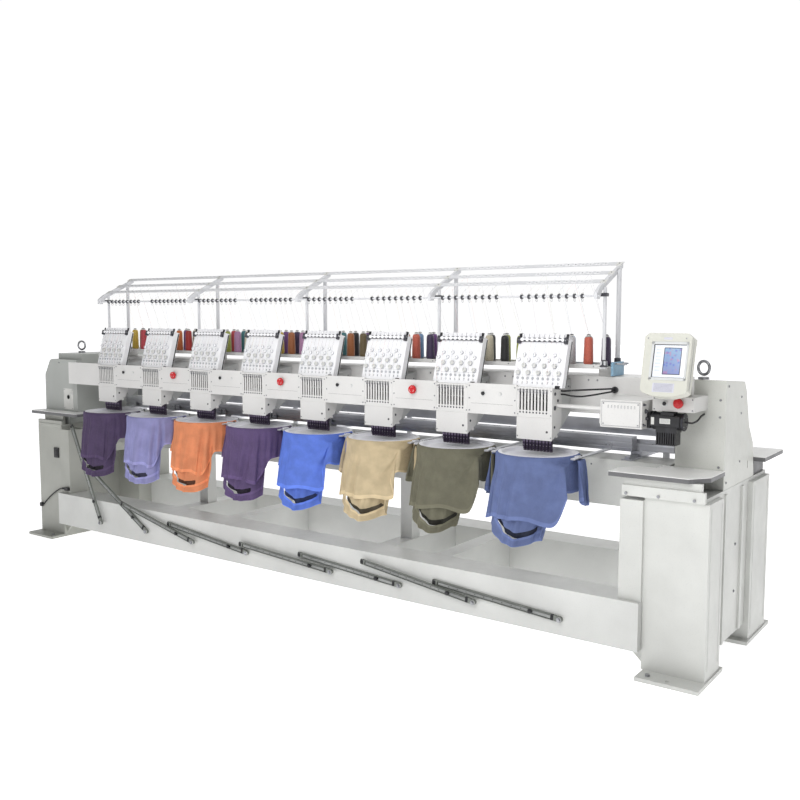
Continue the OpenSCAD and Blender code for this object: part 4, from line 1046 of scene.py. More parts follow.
def build_needle_clamps():
    """The dark block on each needle bar, with its set screw; the middle one moves with its needle."""
    for body, chosen in (("carriage", [k for k in range(NEEDLES) if k != WORKING]),
                         ("needle_bars", [WORKING])):
        clamps = Shape(f"needle_clamps_{body}", clamp_dark)
        for i in range(HEADS):
            for k in chosen:
                x = head_x(i) + needle_x(k)
                clamps.paint(clamp_dark).block(x - 0.0064, x + 0.0064, -0.4330, -0.4246, CLAMP_LOW,
                                               CLAMP_HIGH, 0.0010)
                clamps.block(x - 0.0048, x + 0.0048, -0.4300, -0.4250, CLAMP_LOW - 0.012, CLAMP_LOW, 0.0008)
                clamps.paint(screw_steel).screw((x, -0.4330, CLAMP_LOW + 0.009), (0, -1, 0), 0.0026, 12)
                clamps.paint(clamp_light).block(x - 0.0056, x + 0.0056, -0.4338, -0.4326, CLAMP_HIGH - 0.018,
                                                CLAMP_HIGH - 0.006, 0.0004)
        clamps.make(body, "bright_steel")


build_needle_clamps()

# ---- Control panel, station, colour change box -----------------------------------------------------------

PANEL_MOVE = Matrix.Translation((0, -0.548, 1.229)) @ Matrix.Rotation(math.radians(-14), 4, "X")
SCREEN = (2.1525, 2.2855, 0.0805, 0.2175)


def build_panel_trim():
    x0, x1, z0, z1 = SCREEN
    trim = Shape("panel_trim", panel_bezel).at(PANEL_MOVE)
    trim.paint(screen_finish).block(x0, x1, 0.0020, 0.0029, z0, z1, 0.0003)
    # raised bezel; its upper and left-hand inner edges are dark and its lower inner edge grey: painted shade
    # in the recess
    trim.paint(panel_bezel)
    for a, b, c, d in ((x0 - 0.013, x1 + 0.010, z1 + 0.001, z1 + 0.014),
                       (x0 - 0.013, x1 + 0.010, z0 - 0.012, z0 - 0.001),
                       (x0 - 0.013, x0 - 0.001, z0 - 0.012, z1 + 0.014),
                       (x1 + 0.001, x1 + 0.010, z0 - 0.012, z1 + 0.014)):
        trim.block(a, b, -0.0022, 0.0006, c, d, 0.0008)
    trim.paint(dark_plastic).block(x0 - 0.0022, x1 + 0.001, -0.0026, 0.0022, z1 - 0.0004, z1 + 0.0022, 0.0004)
    trim.block(x0 - 0.0024, x0 + 0.0004, -0.0026, 0.0022, z0 - 0.001, z1 + 0.0022, 0.0004)
    trim.paint(figure_grey).block(x0, x1 + 0.001, -0.0024, 0.0022, z0 - 0.0014, z0 + 0.0004, 0.0004)
    # plain plate above the screen and the vent field below it
    trim.paint(plate_lilac).block(2.188, 2.224, -0.0008, 0.0004, 0.2405, 0.2500, 0.0003)
    trim.paint(plate_lilac).block(2.160, 2.252, -0.0006, 0.0004, 0.0180, 0.0560, 0.0003)
    for k in range(7):
        trim.paint(figure_grey).block(2.166, 2.246, -0.0011, 0.0, 0.0215 + 0.0050 * k, 0.0225 + 0.0050 * k,
                                      0.0002)
    for x in (panel_x0 + 0.012 for panel_x0 in (2.108, 2.270)):
        trim.paint(screw_steel).screw((x, -0.0002, 0.246), (0, -1, 0), 0.0028)
    # rear vents, the split line round the shell and its cable entry
    for k in range(9):
        trim.paint(dark_plastic).block(2.150, 2.262, 0.0855, 0.0868, 0.060 + 0.016 * k, 0.064 + 0.016 * k,
                                       0.0003)
    trim.paint(figure_grey).block(2.1058, 2.1066, 0.030, 0.0312, 0.032, 0.248, 0.0002)
    trim.block(2.3050, 2.3062, 0.030, 0.0312, 0.032, 0.248, 0.0002)
    trim.paint(rubber).lathe((2.200, 0.0860, 0.040), (0, 1, 0), [
        (0, -0.001), (0.010, -0.001), (0.010, 0.004), (0.007, 0.006), (0.0065, 0.016), (0, 0.017)], 20)
    trim.make("operator_panel", "panel_plastic")


def build_station_trim():
    trim = Shape("station_trim", black_plastic)
    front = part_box("control_station")[0].y + 0.009
    trim.lathe((2.166, front - 0.0088, 1.186), (0, -1, 0), [
        (0, 0), (0.0078, 0), (0.0084, 0.0012), (0.0084, 0.0048), (0.0068, 0.0064), (0, 0.0066)], 24)
    trim.paint(panel_bezel).lathe((2.166, front, 1.186), (0, -1, 0), [
        (0.0071, 0), (0.0125, 0), (0.0120, 0.0014), (0.0071, 0.0016), (0.0071, 0)], 28)
    trim.paint(label_white).lathe((2.228, front, 1.190), (0, -1, 0), [
        (0.0082, 0), (0.0265, 0), (0.0262, 0.0012), (0.0082, 0.0014), (0.0082, 0)], 40)
    for x, z in ((2.118, 1.160), (2.118, 1.207), (2.284, 1.160), (2.284, 1.207)):
        trim.paint(screw_steel).screw((x, front, z), (0, -1, 0), 0.0034)
    for z in (1.195, 1.120, 0.900):
        trim.screw((2.345, -0.211, z), (0, -1, 0), 0.0055)
        trim.screw((2.370, 0.020, z), (1, 0, 0), 0.0055)
    trim.screw((2.370, -0.180, 1.255), (1, 0, 0), 0.0055)
    trim.screw((2.370, -0.180, 0.830), (1, 0, 0), 0.0055)
    trim.make("machine", "black_plastic")
    grip = Shape("main_stop_grip", red_plastic)
    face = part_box("main_stop_button")[0].y
    grip.lathe((2.228, face, 1.190), (0, 1, 0), [
        (0.0202, 0.0005), (0.0214, 0.0022), (0.0214, 0.0085), (0.0206, 0.0105), (0.0202, 0.0105),
        (0.0202, 0.0005)], 40)
    grip.lathe((2.228, face + 0.0004, 1.190), (0, -1, 0), [
        (0, 0), (0.0190, 0), (0.0180, 0.0012), (0.0100, 0.0024), (0, 0.0028)], 40)
    grip.make("main_stop_button", "red_plastic")


def build_colour_box_trim():
    low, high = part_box("colour_change_box")
    front = low.y
    trim = Shape("colour_box_trim", figure_grey)
    x0, x1, z0, z1 = 1.910, 2.084, 1.083, 1.188
    for a, b, c, d in ((x0, x1, z1 - 0.0012, z1), (x0, x1, z0, z0 + 0.0012), (x0, x0 + 0.0012, z0, z1),
                       (x1 - 0.0012, x1, z0, z1)):
        trim.block(a, b, front - 0.0005, front + 0.0005, c, d, 0.0002)
    for k in range(NEEDLES):
        x = 1.938 + 0.0150 * k
        trim.paint(figure_grey).block(x, x + 0.0012, front - 0.0006, front, 1.160, 1.173, 0.0002)
        trim.block(x + 0.0040, x + 0.0052, front - 0.0006, front, 1.160, 1.173, 0.0002)
        trim.block(x, x + 0.0052, front - 0.0006, front, 1.1718, 1.1730, 0.0002)
    for x in (x0 + 0.008, x1 - 0.008):
        for z in (z0 + 0.008, z1 - 0.008):
            trim.paint(screw_steel).screw((x, front, z), (0, -1, 0), 0.0034)
    # fittings on the right-hand side, and the hinge line of the lid
    side = high.x
    for y, z, r in ((-0.452, 1.180, 0.0060), (-0.452, 1.092, 0.0060), (-0.430, 1.150, 0.0100),
                    (-0.420, 1.118, 0.0075)):
        trim.paint(dark_plastic).lathe((side, y, z), (1, 0, 0), [
            (0, -0.001), (r, -0.001), (r, 0.004), (r * 0.7, 0.006), (r * 0.65, 0.011), (0, 0.0115)], 20)
    trim.paint(cream_paint).block(1.890, 1.902, -0.452, -0.300, 1.086, 1.130, 0.0015)
    trim.paint(screw_steel).screw((1.8895, -0.430, 1.108), (-1, 0, 0), 0.0045)
    trim.make("machine", "cream_paint")
    motor = Shape("colour_motor_trim", black_plastic)
    motor.block(2.106, 2.236, -0.4145, -0.380, 1.086, 1.134, 0.0020)
    motor.block(2.150, 2.210, -0.4090, -0.360, 1.130, 1.150, 0.0020)
    motor.paint(label_white).block(2.112, 2.126, -0.4150, -0.4140, 1.094, 1.126, 0.0003)
    motor.block(2.150, 2.196, -0.4150, -0.4140, 1.100, 1.122, 0.0003)
    for k in range(4):
        motor.paint(figure_grey).block(2.154, 2.192, -0.4153, -0.4148, 1.104 + 0.0045 * k,
                                       1.1052 + 0.0045 * k, 0.0001)
    motor.paint(dark_iron)
    for x in (2.112, 2.240):
        motor.lathe((x, -0.372, 1.108), (1, 0, 0),
                    [(0.0372, 0), (0.0392, 0.001), (0.0392, 0.006), (0.0372, 0.007),
                                                    (0.0372, 0)], 40)
    for k in range(4):
        a = math.radians(45 + 90 * k)
        motor.paint(screw_steel).screw((2.248, -0.372 + 0.028 * math.cos(a), 1.108 + 0.028 * math.sin(a)),
                                       (1, 0, 0), 0.0030)
    motor.paint(sheath).tube(smooth_route([(2.248, -0.372, 1.108), (2.262, -0.370, 1.106),
                                           (2.272, -0.350, 1.104),
                                           (2.276, -0.300, 1.110), (2.276, -0.250, 1.125),
                                           (2.276, -0.2105, 1.130)]), 0.0042, 10)
    motor.make("machine", "dark_iron")


build_panel_trim()
build_station_trim()
build_colour_box_trim()

# ---- Housings, tables, base ------------------------------------------------------------------------


def build_body_trim():
    trim = Shape("body_trim", screw_steel)
    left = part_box("left_housing")
    front = left[0].y
    # cover plate with a cable hole on the left housing; the hole is a dark disc of painted shadow
    trim.paint(label_white).block(-2.170, -2.060, front - 0.0016, front, 0.900, 1.047, 0.0008)
    trim.paint(hole_shadow_black).lathe((-2.115, front - 0.0014, 0.987), (0, -1, 0),
                                 [(0, 0), (0.0150, 0), (0.0150, 0.0010), (0, 0.0010)], 28)
    for x in (-2.162, -2.068):
        for z in (0.908, 1.039):
            trim.paint(screw_steel).screw((x, front - 0.0016, z), (0, -1, 0), 0.0036)
    for x, z in ((-2.370, 0.825), (-2.370, 1.080), (-2.030, 1.226), (-2.215, 1.226)):
        trim.screw((x, front, z), (0, -1, 0), 0.0048)
    # plate over the front sill's open end
    trim.paint(sill_paint).block(2.1085, 2.1108, -0.5055, -0.4625, 0.107, SILL_TOP - 0.001, 0.0006)
    # bolts on the columns' rear faces, and pressed seams
    for side in (-1, 1):
        x_in, x_out = side * 2.128, side * 2.372
        for z in (0.742, 0.140):
            for x in (x_in, x_out):
                trim.paint(screw_steel).hexagon((x, 0.482, z), (0, 1, 0), 0.0065, 0.0055)
        trim.paint(grey_paint if side > 0 else shaded_paint)
        for y in (-0.432, -0.290, 0.220, 0.450):
            trim.block(side * 2.3895, side * 2.3915, y - 0.0015, y + 0.0015, 0.060, 0.760, 0.0004)
        for z in (0.300, 0.520):
            trim.paint(screw_steel).hexagon((side * 2.368, 0.000, z), (side, 0, 0), 0.0060, 0.0050)
    # bolt rows along the bed beam and the upper beam
    for i in range(HEADS):
        for dx in (-0.150, -0.105, 0.150, 0.195):
            trim.paint(screw_steel).screw((head_x(i) + dx, -0.205, 1.258), (0, -1, 0), 0.0045)
        trim.screw((head_x(i) - 0.150, -0.155, 0.850), (0, -1, 0), 0.0045)
        trim.screw((head_x(i) + 0.150, -0.155, 0.850), (0, -1, 0), 0.0045)
    trim.make("machine", "bright_steel")


def build_arm_trim():
    """Side covers, needle plate screws and parting lines on the lower arms and the head castings."""
    for i in range(HEADS):
        x = head_x(i)
        trim = Shape(f"arm_trim_{i + 1}", screw_steel)
        for side in (-1, 1):
            trim.paint(figure_grey).block(x + side * 0.0419, x + side * 0.0424, -0.440, -0.200, 0.8700,
                                          0.8708, 0.0001)
            for y in (-0.445, -0.320, -0.195):
                trim.paint(screw_steel).screw((x + side * 0.042, y, 0.882), (side, 0, 0), 0.0030)
            for y, z in ((-0.350, 1.205), (-0.235, 1.225), (-0.235, 1.125), (-0.350, 1.075)):
                trim.screw((x + side * 0.060, y, z), (side, 0, 0), 0.0042)
            trim.paint(cast_paint).block(x + side * 0.0598, x + side * 0.0622, -0.345, -0.240, 1.120, 1.200,
                                         0.0016)
        for dx in (-0.022, 0.022):
            for dy in (-0.030, 0.030):
                trim.paint(screw_steel).screw((x + dx, NEEDLE_Y + dy, 0.906), (0, 0, 1), 0.0030, 16)
        trim.paint(bright_steel).lathe((x, NEEDLE_Y, 0.9052), (0, 0, 1), [
            (0.0024, 0), (0.0095, 0), (0.0092, 0.0010), (0.0030, 0.0013), (0.0024, 0.0010), (0.0024, 0)], 32)
        trim.make("machine", "cast_housing")


LEG_PIVOT_Z = 0.183
LEG_ANGLES = (65, 31, 13, 6.5, 4, 4.5, 7.5, 4.5)


def leg_x(i):
    """Pivots lie left of the head on the first half of the row, and right of it on the second."""
    return head_x(i) + (-0.028 if i < HEADS // 2 else 0.171)


def build_leg_trim():
    for i, angle in enumerate(LEG_ANGLES):
        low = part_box(f"table_leg_{i + 1}")[0]
        pivot = Vector((leg_x(i), low.y, LEG_PIVOT_Z))
        move = Matrix.Translation(pivot) @ Matrix.Rotation(math.radians(angle), 4, "Y")
        trim = Shape(f"leg_trim_{i + 1}", leg_inner).at(move)
        trim.block(-0.664, -0.036, 0.0010, 0.0085, -0.0082, 0.0082, 0.0012)
        # the leg's holes as dark discs: painted shadow
        for k in range(9):
            trim.paint(hole_shadow_black).lathe((-0.600 + 0.050 * k, 0.0011, 0), (0, -1, 0),
                                         [(0, 0), (0.0030, 0), (0.0026, 0.0003), (0, 0.0003)], 14)
        trim.paint(rubber)
        trim.block(-0.7002, -0.676, -0.0004, 0.0122, -0.0134, 0.0134, 0.0030)
        trim.block(-0.046, -0.030, -0.0006, 0.0122, -0.0136, 0.0136, 0.0016)
        trim.paint(black_plastic).lathe((-0.150, -0.0004, 0), (0, -1, 0), [
            (0, -0.001), (0.0062, -0.001), (0.0062, 0.0022), (0.0112, 0.0034), (0.0112, 0.0068),
            (0.0095, 0.0080), (0, 0.0082)], 12)
        trim.make(f"table_leg_{i + 1}", "leg_paint")
    studs = Shape("leg_pivot_nuts", screw_steel)
    for i in range(HEADS):
        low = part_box(f"table_leg_{i + 1}")[0]
        x = leg_x(i)
        studs.paint(screw_steel).hexagon((x, low.y - 0.0088, LEG_PIVOT_Z), (0, -1, 0), 0.0085, 0.0060)
        studs.paint(grey_paint).lathe((x, -0.5062, LEG_PIVOT_Z), (0, -1, 0), [
            (0.0055, 0), (0.0200, 0), (0.0196, 0.0009), (0.0055, 0.0012), (0.0055, 0)], 28)
    studs.make("machine", "bright_steel")


def build_pantograph_trim():
    trim = Shape("pantograph_trim", screw_steel)
    for i in range(HEADS):
        for side in (-1, 1):
            x = head_x(i) + side * 0.205
            # clamp block and knurled screws where each finger leaves the rail
            trim.paint(rail_metal).block(x - 0.0160, x + 0.0160, -0.0905, -0.0782, 0.9150, 0.9500, 0.0015)
            for dx in (-0.008, 0.008):
                trim.paint(screw_steel).screw((x + dx, -0.0905, 0.9400), (0, -1, 0), 0.0036)
            trim.paint(hoop_plastic).block(x - 0.0118, x + 0.0118, -0.478, -0.100, 0.9200, 0.9212, 0.0005)
            trim.paint(dark_plastic).lathe((x - side * 0.004, NEEDLE_Y + 0.034, 0.9202), (0, 0, 1), [
                (0, -0.001), (0.0062, -0.001), (0.0068, 0.0012), (0.0068, 0.0052), (0.0058, 0.0062),
                (0, 0.0062)], 10)
        for k in range(5):
            trim.paint(screw_steel).screw((head_x(i) - 0.18 + 0.09 * k, -0.045, 0.982), (0, 0, 1), 0.0034, 16)
    trim.make("pantograph_x", "aluminium_rail")
    frame_trim = Shape("pantograph_y_trim", screw_steel)
    for k in range(27):
        frame_trim.screw((-1.93 + 0.15 * k, -0.002, 0.946), (0, 0, 1), 0.0036, 16)
    frame_trim.make("pantograph_y", "aluminium_rail")


def build_rack_trim():
    trim = Shape("rack_trim", bright_steel)
    low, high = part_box("spool_rack")
    # two rods that stick out of the rack's right-hand end, with a pale blue end cap
    trim.rod((1.800, -0.200, 1.337), (1.911, -0.200, 1.337), 0.0042)
    trim.rod((1.800, -0.110, 1.337), (1.883, -0.110, 1.337), 0.0042)
    trim.paint(pale_blue).block(high.x, high.x + 0.012, -0.222, -0.090, low.z + 0.002, 1.3450, 0.0020)
    trim.paint(label_white).block(low.x - 0.008, low.x, low.y, -0.052, low.z, 1.3360, 0.0015)
    for i in range(HEADS):
        for dx in (-0.168, 0.015, 0.198):
            trim.paint(screw_steel).screw((head_x(i) + dx, low.y, 1.325), (0, -1, 0), 0.0032)
    trim.make("machine", "cream_paint")


build_body_trim()
build_arm_trim()
build_leg_trim()
build_pantograph_trim()
build_rack_trim()

# ---- Hoops ---------------------------------------------------------------------------------------------


def build_hoops():
    """Two nested rings with a clamp screw, ears on the fingers and knurled ear screws."""
    for i in range(HEADS):
        centre = Vector((head_x(i), NEEDLE_Y, 0))
        ring = Shape(f"hoop_{i + 1}", hoop_plastic)
        z0, z1 = HOOP_Z0, HOOP_Z1
        ring.lathe(centre, (0, 0, 1), [
            (0.1805, z0 + 0.001), (0.1830, z0), (0.1875, z0), (HOOP_R, z0 + 0.0020), (HOOP_R, z1 - 0.0035),
            (0.1880, z1 - 0.0010), (0.1840, z1 - 0.0010), (0.1805, z1 - 0.0035), (0.1805, z0 + 0.001)], 128)
        ring.paint(panel_bezel).lathe(centre, (0, 0, 1), [
            (0.1665, z0 + 0.0015), (0.1680, z0), (0.1780, z0), (0.1798, z0 + 0.0015), (0.1798, z1 - 0.0020),
            (0.1785, z1), (0.1690, z1), (0.1665, z1 - 0.0030), (0.1665, z0 + 0.0015)], 128)
        for side in (-1, 1):
            x = centre.x + side * 0.198
            ring.paint(hoop_plastic).block(x - 0.0135, x + 0.0135, NEEDLE_Y - 0.0175, NEEDLE_Y + 0.0175,
                                           z0 + 0.0114,
                                           z1 - 0.0010, 0.0015)
            for step in (-0.009, 0.009):
                ring.paint(screw_steel).screw((x, NEEDLE_Y + step, z1 - 0.0012), (0, 0, 1), 0.0032)
        back = centre + Vector((0.045, 0.1835, 0))
        ring.paint(screw_steel).rod((back.x - 0.018, back.y + 0.0085, z1 - 0.009),
                                    (back.x + 0.018, back.y + 0.0085, z1 - 0.009),
                                    0.0026)
        ring.paint(dark_plastic).rod((back.x + 0.012, back.y + 0.0085, z1 - 0.009),
                                     (back.x + 0.026, back.y + 0.0085, z1 - 0.009), 0.0062, 12)
        ring.make("pantograph_x", "hoop_plastic", *(["hoops"] if i == 0 else []))


build_hoops()

# ---- Garments ---------------------------------------------------------------------------------------------

OUTER_R, INNER_R = 0.1955, 0.1790
OUTER_STEPS, OUTER_ROWS = 88, 32
INNER_STEPS, INNER_ROWS = 48, 38
NECK_ROW = 27
SLEEVE_STEPS, SLEEVE_ROWS = 26, 20
CLOTH_FRAMES = 46
HEM_ROWS = 2
RAISED_LEG = (0.158, 0.184)
SIDE_LENGTH, FRONT_LENGTH = 0.165, 0.292
LEFT_CORNER, RIGHT_CORNER = 60, 44
SPREAD = 112


def bell(x, centre, width):
    return math.exp(-((x - centre) / width) ** 2)


def outer_rest(head):
    """The hooped body of a shirt that hangs round the front and the sides of its hoop."""
    chance = Vector((7.3 * head, 1.7, 0))
    grid = []
    for row in range(OUTER_ROWS + 1):
        line = []
        for step in range(OUTER_STEPS + 1):
            angle = lerp(-SPREAD, SPREAD, step / OUTER_STEPS)
            a = math.radians(angle)
            full = LEFT_CORNER if angle < 0 else RIGHT_CORNER
            drop = max(0.0, 1 - max(0, abs(angle) - full) / 20)
            length = lerp(SIDE_LENGTH, FRONT_LENGTH, drop * drop * (3 - 2 * drop))
            length += (0.020 * (bell(angle, -58, 12) + bell(angle, 40, 10))
                       + 0.012 * noise.noise(chance + Vector((a * 2, 0, 0))))
            flare = math.radians(5 + 10 * (bell(angle, -60, 16) + bell(angle, 44, 14))
                                 + 22 * max(0, abs(angle) - 66) / 46)
            if row == 0:
                r, z = 0.1868, HOOP_Z1 + 0.0022
            elif row == 1:
                r, z = OUTER_R - 0.0030, HOOP_Z1 + 0.0004
            else:
                s = (row - 2) / (OUTER_ROWS - 2) * length
                pleat = math.sin(a * 9 + 3.0 * noise.noise(chance + Vector((a * 2.1, 3, 0))))
                wave = 0.0085 * pleat + 0.0045 * noise.noise(chance + Vector((a * 9, s * 6, 4)))
                edge = 0.40 + 0.8 * (bell(angle, -62, 22) + bell(angle, 50, 20))
                r = OUTER_R + s * math.sin(flare) + (wave * edge + 0.003) * min(1, s / 0.09)
                z = HOOP_Z1 - 0.0040 - s * math.cos(flare)
            line.append(Vector((head_x(head) + r * math.sin(a), NEEDLE_Y - r * math.cos(a), z)))
        grid.append(line)
    return grid


def lean_left(grid, head, top, amount=0.14, more=0.10, narrow=0.10):
    """A shirt pulled round the arm hangs a little askew, and less so beside the table leg on its right."""
    for line in grid:
        for p in line:
            fall = max(0.0, top - p.z)
            beside = min(1.0, max(0.0, (p.x - head_x(head) - 0.07) / 0.07))
            p.x -= fall * (amount + more * (1 - beside)) * min(1, fall / 0.10)
            if p.x < head_x(head):
                p.x += (head_x(head) - p.x) * narrow * min(1, fall / 0.25)
    return grid


def hem_height(x):
    """Height of the shirt's lowest edge across its back."""
    return 0.5020 + (x - 0.04) ** 2 * (1.95 if x < 0.04 else 4.2)


def neck_height(x):
    """Height of the neckline's lower edge."""
    return 0.5440 + (x - 0.02) ** 2 * 4.6


def inner_rest(head):
    """The back of the shirt behind its front: its rows follow the neckline and then the hem."""
    chance = Vector((3.1 * head, 9.2, 0))
    grid = []
    top = HOOP_Z0 - 0.0035
    for row in range(INNER_ROWS + 1):
        line = []
        for step in range(INNER_STEPS + 1):
            t = step / INNER_STEPS
            a = math.radians(lerp(-66, 58, t))
            low_x = lerp(-0.178, 0.158, t)
            neck, hem = neck_height(low_x), hem_height(low_x)
            neck = min(max(neck, hem + 0.030), 0.640)
            if row <= NECK_ROW:
                z = lerp(top, neck, row / NECK_ROW)
            else:
                z = lerp(neck, hem, (row - NECK_ROW) / (INNER_ROWS - NECK_ROW))
            hang = top - z
            ripple = 0.006 * noise.noise(chance + Vector((a * 4, hang * 7, 0))) * min(1, hang / 0.08)
            r = INNER_R + 0.05 * hang + ripple
            x = lerp(r * math.sin(a), low_x + 0.05, min(1, hang / 0.25))
            y = -math.sqrt(max(r * r - x * x, (0.55 * r) ** 2))
            line.append(Vector((head_x(head) + x, NEEDLE_Y + y, z)))
        grid.append(line)
    return grid


def sleeve_rest(head, side):
    """A short sleeve: a flattened tube that hangs from the side of the hoop and opens at its cuff."""
    grid = []
    chance = Vector((5.0 * head, 11.0 * side, 0))
    for row in range(SLEEVE_ROWS + 1):
        s = row / SLEEVE_ROWS
        line = []
        for step in range(SLEEVE_STEPS):
            a = 2 * math.pi * step / SLEEVE_STEPS
            wide, deep = lerp(0.034, 0.062, s), lerp(0.010, 0.026, s)
            ripple = noise.noise(chance + Vector((a, s * 3, 0)))
            wave = 0.006 * math.sin(3 * a + 2 * head) * s + 0.006 * ripple
            x = side * (0.221 + 0.066 * s + (deep + wave) * math.cos(a))
            y = NEEDLE_Y - 0.006 + (wide + wave) * math.sin(a) - 0.030 * s
            z = HOOP_Z0 + 0.003 - 0.188 * s - 0.018 * s * math.sin(a)
            line.append(Vector((head_x(head) + x, y, z)))
        grid.append(line)
    return grid


def grid_faces(grid, closed, base=0):
    columns = len(grid[0])
    faces = []
    for row in range(len(grid) - 1):
        for k in range(columns if closed else columns - 1):
            j = (k + 1) % columns
            faces.append((base + row * columns + k, base + row * columns + j, base + (row + 1) * columns + j,
                          base + (row + 1) * columns + k))
    return faces


def collider(name, x0, x1, y0, y1, z0, z1):
    mesh = bpy.data.meshes.new(name)
    corners = [(x, y, z) for x in (x0, x1) for y in (y0, y1) for z in (z0, z1)]
    mesh.from_pydata(corners, [], [(0, 1, 3, 2), (4, 6, 7, 5), (0, 4, 5, 1), (2, 3, 7, 6), (0, 2, 6, 4),
                                   (1, 5, 7, 3)])
    thing = bpy.data.objects.new(name, mesh)
    bpy.context.scene.collection.objects.link(thing)
    thing.modifiers.new("collision", "COLLISION")
    thing.collision.thickness_outer = 0.004
    return thing


def drape(cloths):
    """Lets all the cloths hang in one simulation; each is (grid, closed, pinned rows)."""
    points, faces, pinned = [], [], []
    for grid, closed, held in cloths:
        base = len(points)
        faces += grid_faces(grid, closed, base)
        columns = len(grid[0])
        pinned += range(base, base + held * columns)
        points += [p for line in grid for p in line]
    mesh = bpy.data.meshes.new("draping")
    mesh.from_pydata([tuple(p) for p in points], [], faces)
    thing = bpy.data.objects.new("draping", mesh)
    bpy.context.scene.collection.objects.link(thing)
    thing.vertex_groups.new(name="held").add(pinned, 1.0, "REPLACE")
    cloth = thing.modifiers.new("cloth", "CLOTH")
    cloth.settings.quality = 5
    cloth.settings.mass = 0.16
    cloth.settings.air_damping = 2.5
    cloth.settings.tension_stiffness = 22
    cloth.settings.compression_stiffness = 12
    cloth.settings.shear_stiffness = 6
    cloth.settings.bending_stiffness = 0.22
    cloth.settings.tension_damping = 8
    cloth.settings.vertex_group_mass = "held"
    cloth.collision_settings.use_self_collision = False
    cloth.collision_settings.collision_quality = 2
    cloth.collision_settings.distance_min = 0.003
    colliders = []
    for head in range(HEADS // 2, HEADS):
        x = head_x(head)
        colliders.append(collider(f"leg_space_{head}", x + RAISED_LEG[0] - 0.004, x + RAISED_LEG[1] + 0.004,
                                  -0.538, -0.503, 0.55, 0.886))
    scene = bpy.context.scene
    for frame_number in range(1, CLOTH_FRAMES + 1):
        scene.frame_set(frame_number)
    settled = thing.evaluated_get(bpy.context.evaluated_depsgraph_get()).to_mesh()
    places = [v.co.copy() for v in settled.vertices]
    for old in [thing] + colliders:
        bpy.data.objects.remove(old, do_unlink=True)
    scene.frame_set(1)
    result, start = [], 0
    for grid, closed, held in cloths:
        columns = len(grid[0])
        result.append([places[start + r * columns:start + (r + 1) * columns] for r in range(len(grid))])
        start += len(grid) * columns
    return result


def cloth_piece(name, grid, closed, finish, rib, hem, hole=None, thick=0.0009, band=None):
    mesh = bpy.data.meshes.new(name)
    faces = grid_faces(grid, closed)
    points = [p for line in grid for p in line]
    columns = len(grid[0]) if closed else len(grid[0]) - 1
    rows = len(grid) - 1
    kinds = [1 if (k // columns) >= rows - hem else 0 for k in range(len(faces))]
    if band is not None:
        kinds = [1 if band <= k // columns < band + 3 else kind for k, kind in enumerate(kinds)]
    if hole:
        kept = [k for k, face in enumerate(faces)
                if not hole(k // columns, sum((points[v] for v in face), Vector()) / 4)]
        faces, kinds = [faces[k] for k in kept], [kinds[k] for k in kept]
    mesh.from_pydata([tuple(p) for p in points], [], faces)
    mesh.materials.append(finish)
    mesh.materials.append(rib)
    mesh.polygons.foreach_set("material_index", kinds)
    work = bmesh.new()
    work.from_mesh(mesh)
    bmesh.ops.delete(work, geom=[v for v in work.verts if not v.link_faces], context="VERTS")
    work.to_mesh(mesh)
    work.free()
    mesh.shade_smooth()
    piece = bpy.data.objects.new(name, mesh)
    bpy.context.scene.collection.objects.link(piece)
    shell = piece.modifiers.new("cloth thickness", "SOLIDIFY")
    shell.thickness = thick
    shell.offset = 0
    piece.modifiers.new("smooth", "SUBSURF").levels = 1
    piece.modifiers["smooth"].render_levels = 1
    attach(piece, "pantograph_x")
    return piece


def build_garments():
    plans = []
    for head in range(HEADS):
        plans.append((outer_rest(head), False, 3))
        plans.append((inner_rest(head), False, 2))
        plans.append((sleeve_rest(head, 1), True, 2))
        plans.append((sleeve_rest(head, -1), True, 2))
    hung = drape(plans)
    for head in range(HEADS):
        x = head_x(head)
        knit_finish, rib = shirt_knits[head], rib_knits[head]
        names = (f"shirt_{head + 1}_front", f"shirt_{head + 1}_back", f"shirt_{head + 1}_right_sleeve",
                 f"shirt_{head + 1}_left_sleeve")
        shapes = [hung[4 * head + k] for k in range(4)]

        for shape in shapes[:2]:
            lean_left(shape, head, HOOP_Z0 - 0.02)

        def in_neck(row, p, x=x):
            return NECK_ROW - 2 <= row < NECK_ROW and abs(p.x - x + 0.030) < 0.082

        front = cloth_piece(names[0], shapes[0], False, knit_finish, rib, HEM_ROWS)
        if head == 0:
            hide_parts("garments")
        back = cloth_piece(names[1], shapes[1], False, knit_finish, rib, 1, in_neck, band=NECK_ROW)
        for k in (2, 3):
            sleeve = cloth_piece(names[k], shapes[k], True, knit_finish, rib, HEM_ROWS)
        shadow_piece(head, shapes[1])
        hooped_top(head)


def shadow_piece(head, back):
    """The inside of the shirt, seen through its neckline, as a darker piece of the same knit: painted shade.
    """
    columns = range(6, INNER_STEPS - 7)
    grid = []
    for row in range(NECK_ROW - 9, NECK_ROW + 2):
        line = []
        for step in columns:
            p = back[row][step]
            deep = 0.012 + 0.006 * math.sin(step * 0.5 + head) + 0.010 * bell(step, INNER_STEPS / 2, 9)
            line.append(Vector((p.x, p.y + deep, p.z)))
        grid.append(line)
    piece = cloth_piece(f"shirt_{head + 1}_inside", grid, False, neck_shadow_knits[head], neck_shadow_knits[head], 1)


